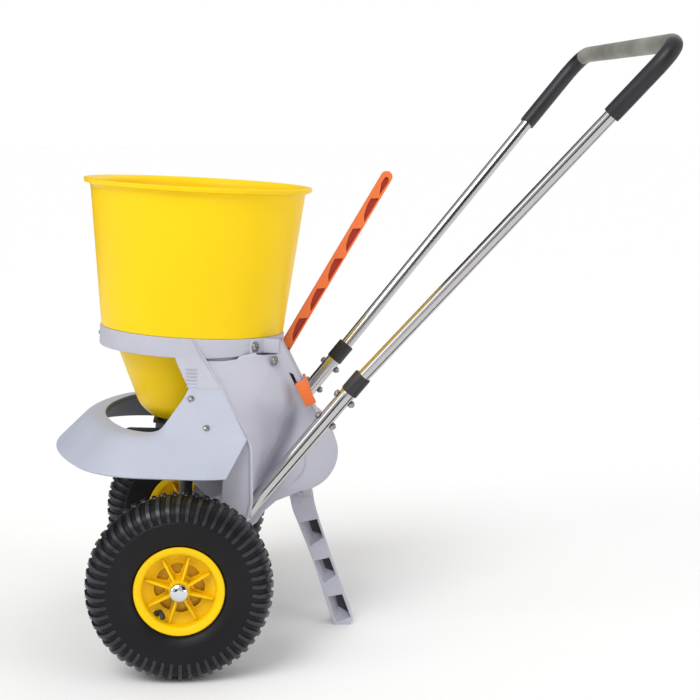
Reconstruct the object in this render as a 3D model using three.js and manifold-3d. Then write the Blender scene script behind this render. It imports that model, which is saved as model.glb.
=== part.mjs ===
// A push-along garden spreader: a round hopper over a wheel-driven spinner disc, on two
// pneumatic wheels and a support leg, with a U-shaped tube handle.
// Millimetres. +X points to the person pushing, +Y to their right, +Z up. The ground is z = 0.
import * as THREE from 'three';
import { mergeVertices } from 'three/addons/utils/BufferGeometryUtils.js';
import Module from 'manifold-3d';

const wasm = await Module();
wasm.setup();

// ---------------------------------------------------------------- driving dimensions
const ORIGIN_SHIFT = -246.17;     // puts the middle of the whole length at x = 0
const WHEEL_RADIUS = 130;         // a 3.00-4 pneumatic hand-truck wheel
const TYRE_HALF_WIDTH = 42.5;
const WHEEL_Y = 236.5;            // centre plane of each wheel
const PARKED_TILT = 0.0558;       // radians the machine leans back when it stands on its leg
const AXLE_RADIUS = 10;
const FIT = 0.3;                  // gap between pieces that touch

const HOPPER_TOP = 545;           // heights from here on are above the axle
const HOPPER_RADIUS = 168;
const HOPPER_WALL = 3.5;
const HOPPER_FLOOR = 195;
const RING_BOTTOM = 302;
const RING_TOP = 330;
const RING_RADIUS = 136.6;
const PLATE = 4;                  // wall of the grey mouldings
const ARM_Y = RING_RADIUS - PLATE;

const GUARD_BOTTOM = 150;
const GUARD_CREASE = 198;
const GUARD_SEAM = 262;
const GUARD_WALL = 3;

const SHAFT_RADIUS = 5;
const SPINNER_RADIUS = 105;
const SPINNER_Z = 152;
const VANE_HEIGHT = 22;
const VANES = 6;
const CROWN_TEETH = 48;
const PINION_TEETH = 12;          // so the spinner turns four times for one turn of the wheel
const GEAR_MODULE = 1.5;

const OUTLET_Z = 190.5;           // underside of the fixed outlet plate
const SHUTTER_THICK = 3;
const SHUTTER_TRAVEL = 26;
const LEVER_PIVOT = [110, 250];   // x and height of the lever's pivot
const LEVER_LENGTH = 360;
const LEVER_ANGLE = 0.485;        // radians back from the machine's vertical, closed
const CRANK_LENGTH = 50;
const CRANK_ANGLE = 0.262;        // radians: half of the lever's sweep

const BOX_Y = 78;                 // half width of the rear housing's lower part
const LEG_Y = 188;                // outer face of the frame's lower legs
const BULGE = [168, 158];         // centre of its round rear end
const BULGE_RADIUS = 55;
const REAR_SLOPE = 0.545;         // run over rise of the sloping rear wall

const TUBE_RADIUS = 11.6;         // lower handle tubes
const TUBE_BORE = 10.2;
const UPPER_RADIUS = 9.5;         // upper handle tube
const GRIP_RADIUS = 12.7;
const COLLAR_RADIUS = 13.4;

// ---------------------------------------------------------------- materials
const finish = (color, roughness, metalness = 0) =>
  new THREE.MeshStandardMaterial({ color, roughness, metalness });
const yellow = () => finish(0xf5cf00, 0.4);
const grey = () => finish(0xbbbbc7, 0.5);
const guardGrey = () => finish(0xc3cbda, 0.5);
const black = () => finish(0x2b2b2e, 0.6);
const rubber = () => finish(0x1f1f22, 0.85);
const steel = () => finish(0xc9c9cc, 0.25, 1);
const orange = () => finish(0xe87837, 0.45);
const brass = () => finish(0xb08d4f, 0.4, 1);

// ---------------------------------------------------------------- solid helpers
// The same geometry with shared corners merged and only positions left.
function indexed(geometry) {
  const bare = geometry.clone();
  bare.deleteAttribute('normal');
  bare.deleteAttribute('uv');
  return mergeVertices(bare, 1e-4);
}

function toSolid(geometry) {
  const merged = indexed(geometry);
  const count = merged.attributes.position.count;
  const triVerts = merged.index
    ? Uint32Array.from(merged.index.array)
    : Uint32Array.from({ length: count }, (_, i) => i);
  const vertProperties = Float32Array.from(merged.attributes.position.array);
  return new wasm.Manifold(new wasm.Mesh({ numProp: 3, vertProperties, triVerts }));
}

function toGeometry(solid) {
  const mesh = solid.getMesh();
  const geometry = new THREE.BufferGeometry();
  geometry.setAttribute('position', new THREE.BufferAttribute(mesh.vertProperties, 3));
  geometry.setIndex(new THREE.BufferAttribute(mesh.triVerts, 1));
  geometry.computeVertexNormals();
  return geometry;
}

const join = (...geometries) =>
  toGeometry(geometries.map(toSolid).reduce((a, b) => a.add(b)));
const cut = (body, ...tools) =>
  toGeometry(tools.map(toSolid).reduce((a, b) => a.subtract(b), toSolid(body)));

// A turned solid about the z axis from [radius, height] points that start and end on the axis,
// or that close on themselves.
function turnedZ(profile, sides = 36) {
  const points = profile.map(([r, z]) => new THREE.Vector2(r, z));
  return new THREE.LatheGeometry(points, sides).rotateX(Math.PI / 2);
}

// The same about the y axis, from [radius, y] points.
function turnedY(profile, sides = 36) {
  const points = profile.map(([r, y]) => new THREE.Vector2(r, y));
  return new THREE.LatheGeometry(points, sides);
}

// Closed rectangular ring section for a turned sleeve.
const sleeve = (inner, outer, a, b) => [[inner, a], [outer, a], [outer, b], [inner, b], [inner, a]];
const rod = (radius, a, b) => [[0, a], [radius, a], [radius, b], [0, b]];

function box(x0, x1, y0, y1, z0, z1) {
  const geometry = new THREE.BoxGeometry(x1 - x0, y1 - y0, z1 - z0);
  return geometry.translate((x0 + x1) / 2, (y0 + y1) / 2, (z0 + z1) / 2);
}

// A flat plate: its outline lies in x and z, and it fills y0 to y1.
function uprightPlate(outline, y0, y1) {
  const shape = outline instanceof THREE.Shape ? outline
    : new THREE.Shape(outline.map(([x, z]) => new THREE.Vector2(x, z)));
  const settings = { depth: y1 - y0, bevelEnabled: false, curveSegments: 16 };
  return new THREE.ExtrudeGeometry(shape, settings).rotateX(Math.PI / 2).translate(0, y1, 0);
}

// A flat plate: its outline lies in x and y, and it fills z0 to z1.
function levelPlate(outline, z0, z1) {
  const shape = new THREE.Shape(outline.map(([x, y]) => new THREE.Vector2(x, y)));
  const settings = { depth: z1 - z0, bevelEnabled: false, curveSegments: 16 };
  return new THREE.ExtrudeGeometry(shape, settings).translate(0, 0, z0);
}

// A round bar between two points.
function barBetween(from, to, radius, sides = 16) {
  const a = new THREE.Vector3(...from);
  const b = new THREE.Vector3(...to);
  const along = b.clone().sub(a);
  const bar = new THREE.CylinderGeometry(radius, radius, along.length(), sides);
  const turn = new THREE.Quaternion()
    .setFromUnitVectors(new THREE.Vector3(0, 1, 0), along.clone().normalize());
  bar.applyQuaternion(turn);
  const middle = a.add(b).multiplyScalar(0.5);
  return bar.translate(middle.x, middle.y, middle.z);
}

// A line through given stops, with one step of the extrusion from each stop to the next.
class StopLine extends THREE.Curve {
  constructor(stops) {
    super();
    this.stops = stops;
  }

  getPointAt(u, target = new THREE.Vector3()) {
    return target.copy(this.stops[Math.round(u * (this.stops.length - 1))]);
  }

  getTangentAt(u, target = new THREE.Vector3()) {
    const k = Math.round(u * (this.stops.length - 1));
    const here = this.stops[k];
    target.set(0, 0, 0);
    if (k > 0) target.add(here.clone().sub(this.stops[k - 1]).normalize());
    if (k + 1 < this.stops.length) target.add(this.stops[k + 1].clone().sub(here).normalize());
    return target.normalize();
  }
}

// A round bar along a line of stops.
function barAlong(stops, radius, sides = 8) {
  const section = new THREE.Shape();
  section.absarc(0, 0, radius, 0, 2 * Math.PI, false);
  const settings = { steps: stops.length - 1, curveSegments: sides, bevelEnabled: false };
  return new THREE.ExtrudeGeometry(section, { ...settings, extrudePath: new StopLine(stops) });
}

// A closed shell: a grid of points is its outer face, and the inner face lies a wall behind it.
function shellOf(grid, wall) {
  const rows = grid.length;
  const columns = grid[0].length;
  const at = (i, j) => grid[Math.min(Math.max(i, 0), rows - 1)][Math.min(Math.max(j, 0), columns - 1)];
  const outer = [];
  const inner = [];
  for (let i = 0; i < rows; i += 1) {
    for (let j = 0; j < columns; j += 1) {
      const down = at(i + 1, j).clone().sub(at(i - 1, j));
      const across = at(i, j + 1).clone().sub(at(i, j - 1));
      const normal = across.cross(down).normalize();
      outer.push(at(i, j));
      inner.push(at(i, j).clone().addScaledVector(normal, -wall));
    }
  }
  const points = outer.concat(inner);
  const offset = outer.length;
  const index = [];
  const quad = (a, b, c, d) => index.push(a, b, c, a, c, d);
  const id = (i, j) => i * columns + j;
  for (let i = 0; i + 1 < rows; i += 1) {
    for (let j = 0; j + 1 < columns; j += 1) {
      quad(id(i, j), id(i + 1, j), id(i + 1, j + 1), id(i, j + 1));
      quad(offset + id(i, j), offset + id(i, j + 1), offset + id(i + 1, j + 1), offset + id(i + 1, j));
    }
  }
  const rim = [];
  for (let j = 0; j < columns; j += 1) rim.push(id(0, j));
  for (let i = 1; i < rows; i += 1) rim.push(id(i, columns - 1));
  for (let j = columns - 2; j >= 0; j -= 1) rim.push(id(rows - 1, j));
  for (let i = rows - 2; i > 0; i -= 1) rim.push(id(i, 0));
  rim.forEach((a, k) => {
    const b = rim[(k + 1) % rim.length];
    quad(a, b, offset + b, offset + a);
  });
  const geometry = new THREE.BufferGeometry().setFromPoints(points);
  geometry.setIndex(index);
  return facingOut(geometry);
}

function facingOut(geometry) {
  const p = geometry.attributes.position;
  const index = geometry.index.array;
  const [a, b, c] = [new THREE.Vector3(), new THREE.Vector3(), new THREE.Vector3()];
  let volume = 0;
  for (let t = 0; t < index.length; t += 3) {
    a.fromBufferAttribute(p, index[t]);
    b.fromBufferAttribute(p, index[t + 1]);
    c.fromBufferAttribute(p, index[t + 2]);
    volume += a.dot(b.cross(c));
  }
  if (volume < 0) {
    for (let t = 0; t < index.length; t += 3) {
      [index[t + 1], index[t + 2]] = [index[t + 2], index[t + 1]];
    }
  }
  geometry.computeVertexNormals();
  return geometry;
}

// ---------------------------------------------------------------- scene graph
const spreader = new THREE.Group();
spreader.position.x = ORIGIN_SHIFT;
const machine = new THREE.Group();        // leans back about the axle
machine.position.z = WHEEL_RADIUS;
machine.rotation.y = PARKED_TILT;
const level = new THREE.Group();          // stands square to the ground
spreader.add(machine, level);

function add(group, name, geometry, material) {
  const mesh = new THREE.Mesh(geometry, material);
  mesh.name = name;
  group.add(mesh);
  return mesh;
}

const SIDES = [['near', -1], ['far', 1]];

// ---------------------------------------------------------------- hopper
const PORT_FRONT = -36;
const PORT_REAR = -14;
const PORT = box(PORT_FRONT, PORT_REAR, -18, 18, 150, 260);   // where the granules drop out

function hopper() {
  const w = HOPPER_WALL;
  const outside = [
    [8.5, HOPPER_FLOOR], [46, HOPPER_FLOOR], [58, HOPPER_FLOOR + 4], [70, 208], [75, 215.5],
    [86.3, 236.3], [98, 267.6], [112, RING_BOTTOM + 1], [129, 322], [131.5, RING_TOP - 1],
    [131.5, RING_TOP + FIT], [135, RING_TOP + FIT], [158, 536], [HOPPER_RADIUS, 538],
    [HOPPER_RADIUS, HOPPER_TOP],
  ];
  const inside = [
    [HOPPER_RADIUS - 6, HOPPER_TOP], [155, 541], [135 - w, RING_TOP + 6], [127, RING_TOP - 2],
    [108, RING_BOTTOM + 2], [94, 267.6], [82.5, 236.3], [71, 217], [66, 210],
    [55, HOPPER_FLOOR + 7], [46, HOPPER_FLOOR + w], [8.5, HOPPER_FLOOR + w], [8.5, HOPPER_FLOOR],
  ];
  return cut(turnedZ([...outside, ...inside], 40), PORT);
}
add(machine, 'hopper', hopper(), yellow());

// ---------------------------------------------------------------- front frame: ring and arms
// The arms come down from the ring, lean outwards behind the guard and stand upright at the axle.
// Each row is a height with the arm's front edge, rear edge and outer face there.
const ARM_ROWS = [
  [RING_TOP - 4, -12, 3, 136.4], [RING_BOTTOM, -21, 19, 136.4], [GUARD_SEAM, 0, 47, 146],
  [235, 17, 63, 165], [200, 40, 83, 188], [185, 48, 93, LEG_Y], [150, 54, 95, LEG_Y],
  [105, 52, 97, LEG_Y], [60, 34, 82, LEG_Y], [20, -8, 44, LEG_Y], [-8, -14, 14, LEG_Y],
];

// The arm's outer face at a height, between the rows above.
function armWidth(z) {
  const k = Math.max(1, ARM_ROWS.findIndex((row) => row[0] <= z));
  const [z1, , , y1] = ARM_ROWS[k - 1];
  const [z0, , , y0] = ARM_ROWS[k];
  return THREE.MathUtils.mapLinear(Math.min(z, z1), z0, z1, y0, y1);
}

function arm(side) {
  const steps = [0, 0.33, 0.67, 1];
  const grid = ARM_ROWS.map(([z, front, rear, y]) => steps.map((s) =>
    new THREE.Vector3(THREE.MathUtils.lerp(front, rear, s), side * y, z)));
  const rows = side < 0 ? grid.map((row) => row.slice().reverse()) : grid;
  return shellOf(rows, PLATE);
}

function frontFrame() {
  const ring = turnedZ(sleeve(ARM_Y - 0.2, RING_RADIUS, RING_BOTTOM, RING_TOP), 40);
  const leverGap = box(60, 160, -13, 13, RING_BOTTOM - 5, RING_TOP + 5);
  const parts = [cut(ring, leverGap)];
  for (const [, side] of SIDES) {
    const boss = [side * (LEG_Y - 9), side * (LEG_Y + 11)].sort((a, b) => a - b);
    parts.push(arm(side), turnedY(rod(22, ...boss), 24));
  }
  return cut(join(...parts), turnedY(rod(14.4, -220, 220), 24));
}
add(machine, 'front_frame', frontFrame(), grey());

// ---------------------------------------------------------------- rear housing
// A closed outline of even thickness along an open line of [x, z] points.
function band(points, wall) {
  const inner = points.map((point, i) => {
    const before = points[Math.max(i - 1, 0)];
    const after = points[Math.min(i + 1, points.length - 1)];
    const [dx, dz] = [after[0] - before[0], after[1] - before[1]];
    const length = Math.hypot(dx, dz);
    return [point[0] - (dz / length) * wall, point[1] + (dx / length) * wall];
  });
  return [...points, ...inner.reverse()];
}

const rearWallX = (z) => 132 + (322 - z) * REAR_SLOPE;

function bulgeArc(radius) {
  const points = [];
  for (let degrees = -85; degrees <= 65; degrees += 10) {
    const a = THREE.MathUtils.degToRad(degrees);
    points.push([BULGE[0] + radius * Math.cos(a), BULGE[1] + radius * Math.sin(a)]);
  }
  return points;
}

const legPin = (radius) => turnedY(rod(radius, -30, 30), 16).translate(178, 0, 92);

const BOTTOM_LINE = [[72, 22], [108, 53], [118, 70], [134.6, 86], [155, 95]];
const CHEEK_OUTLINE = [
  [-24, -14], [-8, -26], [16, -26], ...BOTTOM_LINE, ...bulgeArc(BULGE_RADIUS),
  [rearWallX(212), 212], [112, 214], [86, 182], [86, 146], [56, 138], [30, 100], [-10, 50], [-26, 14],
];

// Heights with the [x, y] of the valley beside the frame's leg and of the wall behind it.
const HOUSING_ROWS = [
  [RING_BOTTOM - 2, [78, 112], [114, 99]], [GUARD_SEAM, [105, 106], [138, 89]],
  [222, [132, 93], [160, 88]], [205, [129, 90], [158, 86]],
];
const WING_ROWS = [[206, [129, 90], [140, 76.5]], [165, [112, 86], [124, 76.5]],
  [140, [104, 84], [116, 76.5]]];

function legEdge(z) {
  const k = Math.max(1, ARM_ROWS.findIndex((row) => row[0] <= z));
  const [z1, , x1] = ARM_ROWS[k - 1];
  const [z0, , x0] = ARM_ROWS[k];
  return THREE.MathUtils.mapLinear(z, z0, z1, x0, x1);
}

function housingHalf(z, valley, wall) {
  const y = armWidth(z) - PLATE - 3;
  const edge = legEdge(z);
  return [[edge - 9, y, z], [edge + 1, y, z], [...valley, z], [...wall, z]];
}

function rearHousing() {
  const upper = HOUSING_ROWS.map(([z, valley, wall]) => {
    const top = z > GUARD_SEAM ? 322 : z;
    const x = rearWallX(top);
    return [...housingHalf(z, valley, wall), [x, 85, top], [x + 8, 40, top]];
  });
  const columns = upper[0].length;
  const order = [...Array(columns).keys()];
  const stations = [...order.map((k) => [k, -1]), ...order.reverse().map((k) => [k, 1])];
  const shell = shellOf(stations.map(([k, side]) => upper.map((row) =>
    new THREE.Vector3(row[k][0], side * row[k][1], row[k][2]))), 3);
  const parts = [shell];
  for (const [, side] of SIDES) {
    const wing = WING_ROWS.map(([z, valley, wall]) => housingHalf(z, valley, wall));
    const lines = [0, 1, 2, 3].map((k) => wing.map((row) =>
      new THREE.Vector3(row[k][0], side * row[k][1], row[k][2])));
    parts.push(shellOf(side < 0 ? lines : lines.reverse(), 3));
    const cheek = [side * BOX_Y, side * (BOX_Y - PLATE)].sort((a, b) => a - b);
    parts.push(uprightPlate(CHEEK_OUTLINE, ...cheek));
  }
  const rear = [...BOTTOM_LINE, ...bulgeArc(BULGE_RADIUS), [rearWallX(212), 212]];
  parts.push(uprightPlate(band(rear, PLATE), -BOX_Y + 1, BOX_Y - 1));
  const leverSlot = box(100, 200, -11, 11, 236, 330);
  const axleHole = turnedY(rod(14, -100, 100), 24);
  const stopSlot = slopedBox(slopePoint(290, -12), slopePoint(240, -12), 5).translate(0, -90, 0);
  for (const [, side] of SIDES) {
    const ear = [side * 21, side * 26].sort((a, b) => a - b);
    parts.push(uprightPlate([[166, 84], [190, 84], [190, 108], [166, 104]], ...ear));
  }
  return cut(join(...parts), leverSlot, axleHole, stopSlot, legPin(4.3));
}

// A point on the rear wall's line at a height, moved off it by a distance.
function slopePoint(z, off) {
  const length = Math.hypot(1, REAR_SLOPE);
  return [rearWallX(z) + off / length, z + (off * REAR_SLOPE) / length];
}

// A block 20 mm wide about y = 0 between two points of [x, z], of a given thickness.
function slopedBox(a, b, thick, width = 20) {
  const length = Math.hypot(b[0] - a[0], b[1] - a[1]);
  const block = new THREE.BoxGeometry(thick, width, length);
  block.rotateY(Math.atan2(a[0] - b[0], a[1] - b[1]));
  return block.translate((a[0] + b[0]) / 2, 0, (a[1] + b[1]) / 2);
}
add(machine, 'rear_housing', rearHousing(), grey());

// ---------------------------------------------------------------- spread guard
// Half of a rounded outline, from the middle of the front to the start of the straight side.
function frontCurve(frontX, frontRadius, cornerRadius, halfWidth) {
  const arcSteps = 4;
  const cornerSteps = 5;
  const cornerY = halfWidth - cornerRadius;
  const reach = frontRadius - cornerRadius;
  const turn = Math.asin(cornerY / reach);
  const centreX = frontX + frontRadius;
  const cornerX = centreX - reach * Math.cos(turn);
  const points = [];
  for (let k = 0; k <= arcSteps; k += 1) {
    const a = (turn * k) / arcSteps;
    points.push([centreX - frontRadius * Math.cos(a), frontRadius * Math.sin(a)]);
  }
  for (let k = 1; k <= cornerSteps; k += 1) {
    const a = THREE.MathUtils.lerp(turn, Math.PI / 2, k / cornerSteps);
    points.push([cornerX - cornerRadius * Math.cos(a), cornerY + cornerRadius * Math.sin(a)]);
  }
  return points;
}

// Heads of the guard's screws: [x, height, half width] on its leaning side.
const GUARD_SCREWS = [[3.9, 248.6, 159.8], [27.3, 212.3, 186]];
const SCREW_RADIUS = 1.5;
const GUARD_LEAN = [0.82, 0.57];  // outward and upward parts of the side's normal

// From just outside the guard to just inside it.
function guardScrewLine([x, z, y], side) {
  const [out, up] = GUARD_LEAN;
  const at = (d) => [x, side * (y + d * out), z + d * up];
  return [at(0.6), at(-4.4)];
}

function spreadGuard() {
  const lift = (points, z) => points.map(([x, y]) => [x, y, z]);
  const bottom = lift(frontCurve(-194, 400, 100, 240), GUARD_BOTTOM);
  bottom.push([-50, 240, 150], [-35, 240, 150], [0, 239, 150], [30, 236, 150], [58, 229, 150]);
  const crease = lift(frontCurve(-149, 340, 70, 196), GUARD_CREASE);
  crease.push([-40, 196, 198], [-28, 196, 198], [0, 196, 198], [40, 196, 198], [84, 195, 198]);
  const edge = lift(frontCurve(-123, 300, 60, 168), GUARD_CREASE + 2);
  edge.push([-31, 178, 211], [-24, 180, 221], [0, 150, GUARD_SEAM], [24, 150, GUARD_SEAM],
    [47, 150, GUARD_SEAM]);
  const half = bottom.map((point, k) => [point, crease[k], edge[k]]);
  const near = half.slice().reverse().map((line) => line.map(([x, y, z]) =>
    new THREE.Vector3(x, -y, z)));
  const far = half.slice(1).map((line) => line.map(([x, y, z]) => new THREE.Vector3(x, y, z)));
  const holes = SIDES.flatMap(([, side]) => GUARD_SCREWS.map((place) => {
    const [from, to] = guardScrewLine(place, side);
    return barBetween(from, to, SCREW_RADIUS + FIT, 12);
  }));
  return cut(shellOf([...near, ...far], GUARD_WALL), ...holes);
}

add(machine, 'spread_guard', spreadGuard(), guardGrey());

// ---------------------------------------------------------------- axle, gearbox and spinner
function axle() {
  const bar = turnedY(rod(AXLE_RADIUS, -272, 272), 24);
  const pinHole = turnedZ(rod(3 + FIT, -20, 20), 12).translate(0, -WHEEL_Y + 24, 0);
  return cut(bar, pinHole);
}
add(machine, 'axle', axle(), steel());
add(machine, 'drive_pin', turnedZ(rod(3, -15, 15), 12).translate(0, -WHEEL_Y + 24, 0), steel());
for (const [name, side] of SIDES) {
  const bush = [side * (LEG_Y - 11), side * (LEG_Y + 13)].sort((a, b) => a - b);
  add(machine, `axle_bush_${name}`, turnedY(sleeve(10.3, 14, ...bush), 24), black());
}

function gearboxHousing() {
  const shell = turnedY([[47, -16], [47, 21], [10.6, 21], [10.6, 18], [44, 18], [44, -16], [47, -16]]);
  const neck = turnedZ(rod(13, 44.4, 62), 24);
  const bore = turnedZ(rod(8.3, 30, 70), 24);
  return cut(join(shell, neck), bore);
}
add(machine, 'gearbox_housing', gearboxHousing(), black());
add(machine, 'gearbox_cover', turnedY(sleeve(10.6, 47, -19.3, -16.3)), black());
add(machine, 'gearbox_bracket', box(47.5, 51.5, -BOX_Y + 4.4, BOX_Y - 4.4, -16, 30), steel());
add(machine, 'shaft_bush', turnedZ(sleeve(5.3, 8, 46, 58), 24), brass());

const CROWN_RADIUS = (GEAR_MODULE * CROWN_TEETH) / 2;
const PINION_RADIUS = (GEAR_MODULE * PINION_TEETH) / 2;
const TOOTH = 1.3;                // half height of a tooth
const TOOTH_SHARE = 0.36;         // share of the pitch that a tooth fills at its middle

function crownGear() {
  const pitch = (2 * Math.PI * CROWN_RADIUS) / CROWN_TEETH;
  const disc = turnedY([[10.3, 2], [15, 2], [15, 11], [42, 11], [42, 16], [10.3, 16], [10.3, 2]]);
  const root = 11.2;
  const tip = PINION_RADIUS - TOOTH;
  const teeth = [];
  for (let k = 0; k < CROWN_TEETH; k += 1) {
    const thick = pitch * TOOTH_SHARE;
    const section = [[-thick * 0.7, root], [thick * 0.7, root], [thick * 0.35, tip], [-thick * 0.35, tip]];
    const tooth = levelPlate(section, CROWN_RADIUS - 4, CROWN_RADIUS + 4);
    teeth.push(tooth.rotateY((2 * Math.PI * k) / CROWN_TEETH));
  }
  return join(disc, ...teeth);
}

function pinion() {
  const points = [];
  for (let k = 0; k < PINION_TEETH; k += 1) {
    const middle = (2 * Math.PI * (k + 0.5)) / PINION_TEETH + Math.PI / 2;
    const half = (Math.PI / PINION_TEETH) * TOOTH_SHARE;
    const root = -TOOTH - 0.3;
    for (const [turn, rise] of [[-1.3, root], [-0.6, TOOTH], [0.6, TOOTH], [1.3, root]]) {
      const a = middle + turn * half;
      points.push([(PINION_RADIUS + rise) * Math.cos(a), (PINION_RADIUS + rise) * Math.sin(a)]);
    }
  }
  const gear = levelPlate(points, CROWN_RADIUS - 4, CROWN_RADIUS + 4);
  return cut(gear, turnedZ(rod(SHAFT_RADIUS + FIT, 20, 50), 20));
}
add(machine, 'crown_gear', crownGear(), brass());
add(machine, 'pinion', pinion(), brass());

add(machine, 'spinner_shaft', turnedZ(rod(SHAFT_RADIUS, 28, 216), 20), steel());
add(machine, 'shaft_sleeve', turnedZ(sleeve(6, 10, 62.4, 144), 20), black());

function spinner() {
  const plate = turnedZ([[5.3, SPINNER_Z - 6], [14, SPINNER_Z - 6], [14, SPINNER_Z],
    [SPINNER_RADIUS, SPINNER_Z], [SPINNER_RADIUS, SPINNER_Z + 3], [14, SPINNER_Z + 3],
    [14, SPINNER_Z + VANE_HEIGHT + 2], [5.3, SPINNER_Z + VANE_HEIGHT + 2], [5.3, SPINNER_Z - 6]]);
  const vanes = [];
  for (let k = 0; k < VANES; k += 1) {
    const vane = box(12, SPINNER_RADIUS - 3, -1.5, 1.5, SPINNER_Z + 1, SPINNER_Z + VANE_HEIGHT);
    vanes.push(vane.rotateZ((2 * Math.PI * k) / VANES));
  }
  return join(plate, ...vanes);
}
add(machine, 'spinner', spinner(), black());

function agitator() {
  const hub = turnedZ(sleeve(5.3, 9, 201, 213), 20);
  const arms = barBetween([0, -34, 207], [0, 34, 207], 2.5, 10);
  return cut(join(hub, arms), turnedZ(rod(5.3, 195, 220), 20));
}
add(machine, 'agitator', agitator(), steel());

// ---------------------------------------------------------------- outlet, shutter and lever
function outletPlate() {
  const plate = turnedZ(sleeve(8.4, 46, OUTLET_Z, HOPPER_FLOOR - FIT), 40);
  const rails = [];
  for (const [, side] of SIDES) {
    const outer = side * 36;
    const inner = side * (28 + 2 * FIT);
    const lip = side * 24;
    const y = [outer, inner].sort((a, b) => a - b);
    const lipY = [outer, lip].sort((a, b) => a - b);
    rails.push(box(-28, 28, ...y, OUTLET_Z - 7, OUTLET_Z + 1));
    rails.push(box(-28, 28, ...lipY, OUTLET_Z - 7, OUTLET_Z - 4.2));
  }
  return cut(join(plate, ...rails), PORT, turnedZ(rod(8.4, 100, 250), 24));
}
add(machine, 'outlet_plate', outletPlate(), black());
add(machine, 'outlet_bush', turnedZ(sleeve(5.3, 8, 182, HOPPER_FLOOR - 1), 24), brass());

const SHUTTER_TOP = OUTLET_Z - FIT;
const CRANK_END = [
  LEVER_PIVOT[0] + CRANK_LENGTH * Math.sin(CRANK_ANGLE),
  LEVER_PIVOT[1] - CRANK_LENGTH * Math.cos(CRANK_ANGLE),
];
const CRANK_PIN = 4;

function shutterPlate() {
  const z0 = SHUTTER_TOP - SHUTTER_THICK;
  const tailEnd = CRANK_END[0] + 12;
  const plate = levelPlate([[-52, -28], [64, -28], [64, -6], [tailEnd, 6], [tailEnd, 22],
    [64, 28], [-52, 28]], z0, SHUTTER_TOP);
  const shaftSlot = box(-9, 9 + SHUTTER_TRAVEL, -8.6, 8.6, z0 - 5, SHUTTER_TOP + 5);
  const hole = box(PORT_FRONT + SHUTTER_TRAVEL, PORT_REAR + SHUTTER_TRAVEL, -18, 18,
    z0 - 5, SHUTTER_TOP + 5);
  const prongs = [-1, 1].map((way) => {
    const near = CRANK_END[0] + way * (CRANK_PIN + 1);
    const x = [near, near + way * 4].sort((a, b) => a - b);
    return box(...x, 9, 20, z0 + 1, z0 + 26);
  });
  return join(cut(plate, shaftSlot, hole), ...prongs);
}
add(machine, 'shutter_plate', shutterPlate(), black());

const LEVER_TIP = [
  LEVER_PIVOT[0] + LEVER_LENGTH * Math.sin(LEVER_ANGLE),
  LEVER_PIVOT[1] + LEVER_LENGTH * Math.cos(LEVER_ANGLE),
];
const discAt = ([x, z], radius, y0, y1, sides = 24) =>
  turnedY(rod(radius, y0, y1), sides).translate(x, 0, z);

function lever() {
  const body = join(
    slopedBox(LEVER_TIP, LEVER_PIVOT, 17, 10), discAt(LEVER_TIP, 8.5, -5, 5),
    discAt(LEVER_PIVOT, 12, -6, 6), slopedBox(LEVER_PIVOT, CRANK_END, 12, 10),
    discAt(CRANK_END, 7, -5, 5),
  );
  return cut(body, discAt(LEVER_PIVOT, 5.3, -9, 9), discAt(CRANK_END, CRANK_PIN + FIT, -9, 9));
}
add(machine, 'lever', lever(), orange());
add(machine, 'crank_pin', discAt(CRANK_END, CRANK_PIN, -6, 19, 16), steel());
add(machine, 'lever_pivot_rod', discAt(LEVER_PIVOT, 5, -96, 96, 16), steel());

const STOP_MIDDLE = 254;          // height of the middle of the stop's knob
const STOP_LENGTH = 37;
const STOP_THICK = 16.6;
const STOP_Y = -98;

function stopSlider() {
  const rise = (STOP_LENGTH / 2) / Math.hypot(1, REAR_SLOPE);
  const knob = slopedBox(slopePoint(STOP_MIDDLE + rise, -1.2), slopePoint(STOP_MIDDLE - rise, -1.2),
    STOP_THICK, 10);
  const bar = slopedBox(slopePoint(STOP_MIDDLE + 16, 11), slopePoint(STOP_MIDDLE + 2, 11), 5, 92);
  const foot = slopedBox(slopePoint(STOP_MIDDLE + 16, 6), slopePoint(STOP_MIDDLE + 2, 6), 15, 10);
  return join(knob.translate(0, STOP_Y, 0), bar.translate(0, -57, 0), foot.translate(0, STOP_Y, 0));
}
add(machine, 'stop_slider', stopSlider(), orange());

// ---------------------------------------------------------------- fasteners of the mouldings
// A shank from one point to another, with a round head 3 mm high that stands on the first.
function screw(from, to, shank, head) {
  const start = new THREE.Vector3(...from);
  const along = new THREE.Vector3(...to).sub(start).normalize();
  const back = (distance) => start.clone().addScaledVector(along, -distance).toArray();
  return join(barBetween(back(1.5), to, shank, 12), barBetween(from, back(3), head, 16));
}

const RING_BOLTS = [[88, 320, 107], [117, 299, 99]];
for (const [name, side] of SIDES) {
  GUARD_SCREWS.forEach((place, k) => {
    const [from, to] = guardScrewLine(place, side);
    add(machine, `guard_screw_${name}_${k + 1}`, screw(from, to, SCREW_RADIUS, 4.5), steel());
  });
  RING_BOLTS.forEach(([x, z, y], k) => {
    const out = new THREE.Vector3(x, side * y, 0).normalize();
    const at = (r) => [out.x * r, out.y * r, z];
    const radius = k === 0 ? RING_RADIUS + 0.4 : Math.hypot(x, y) + 4;
    add(machine, `ring_bolt_${name}_${k + 1}`, screw(at(radius + 5), at(radius), 4, 6.5), steel());
  });
}

// ---------------------------------------------------------------- support leg
const FOOT_FRONT = 229;
const FOOT_REAR = 252;
const LEG_HALF_WIDTH = 20;
const LEG_OUTLINE = [
  [160.5, 211], [163, 188], [170, 163], [177, 138], [196, 88], [215, 37], [223, 11],
  [FOOT_FRONT, 0], [FOOT_REAR, 0], [258, 10], [249, 36], [232, 87], [215.6, 138], [207, 161],
  [198, 192], [196.5, 211],
];

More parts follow.
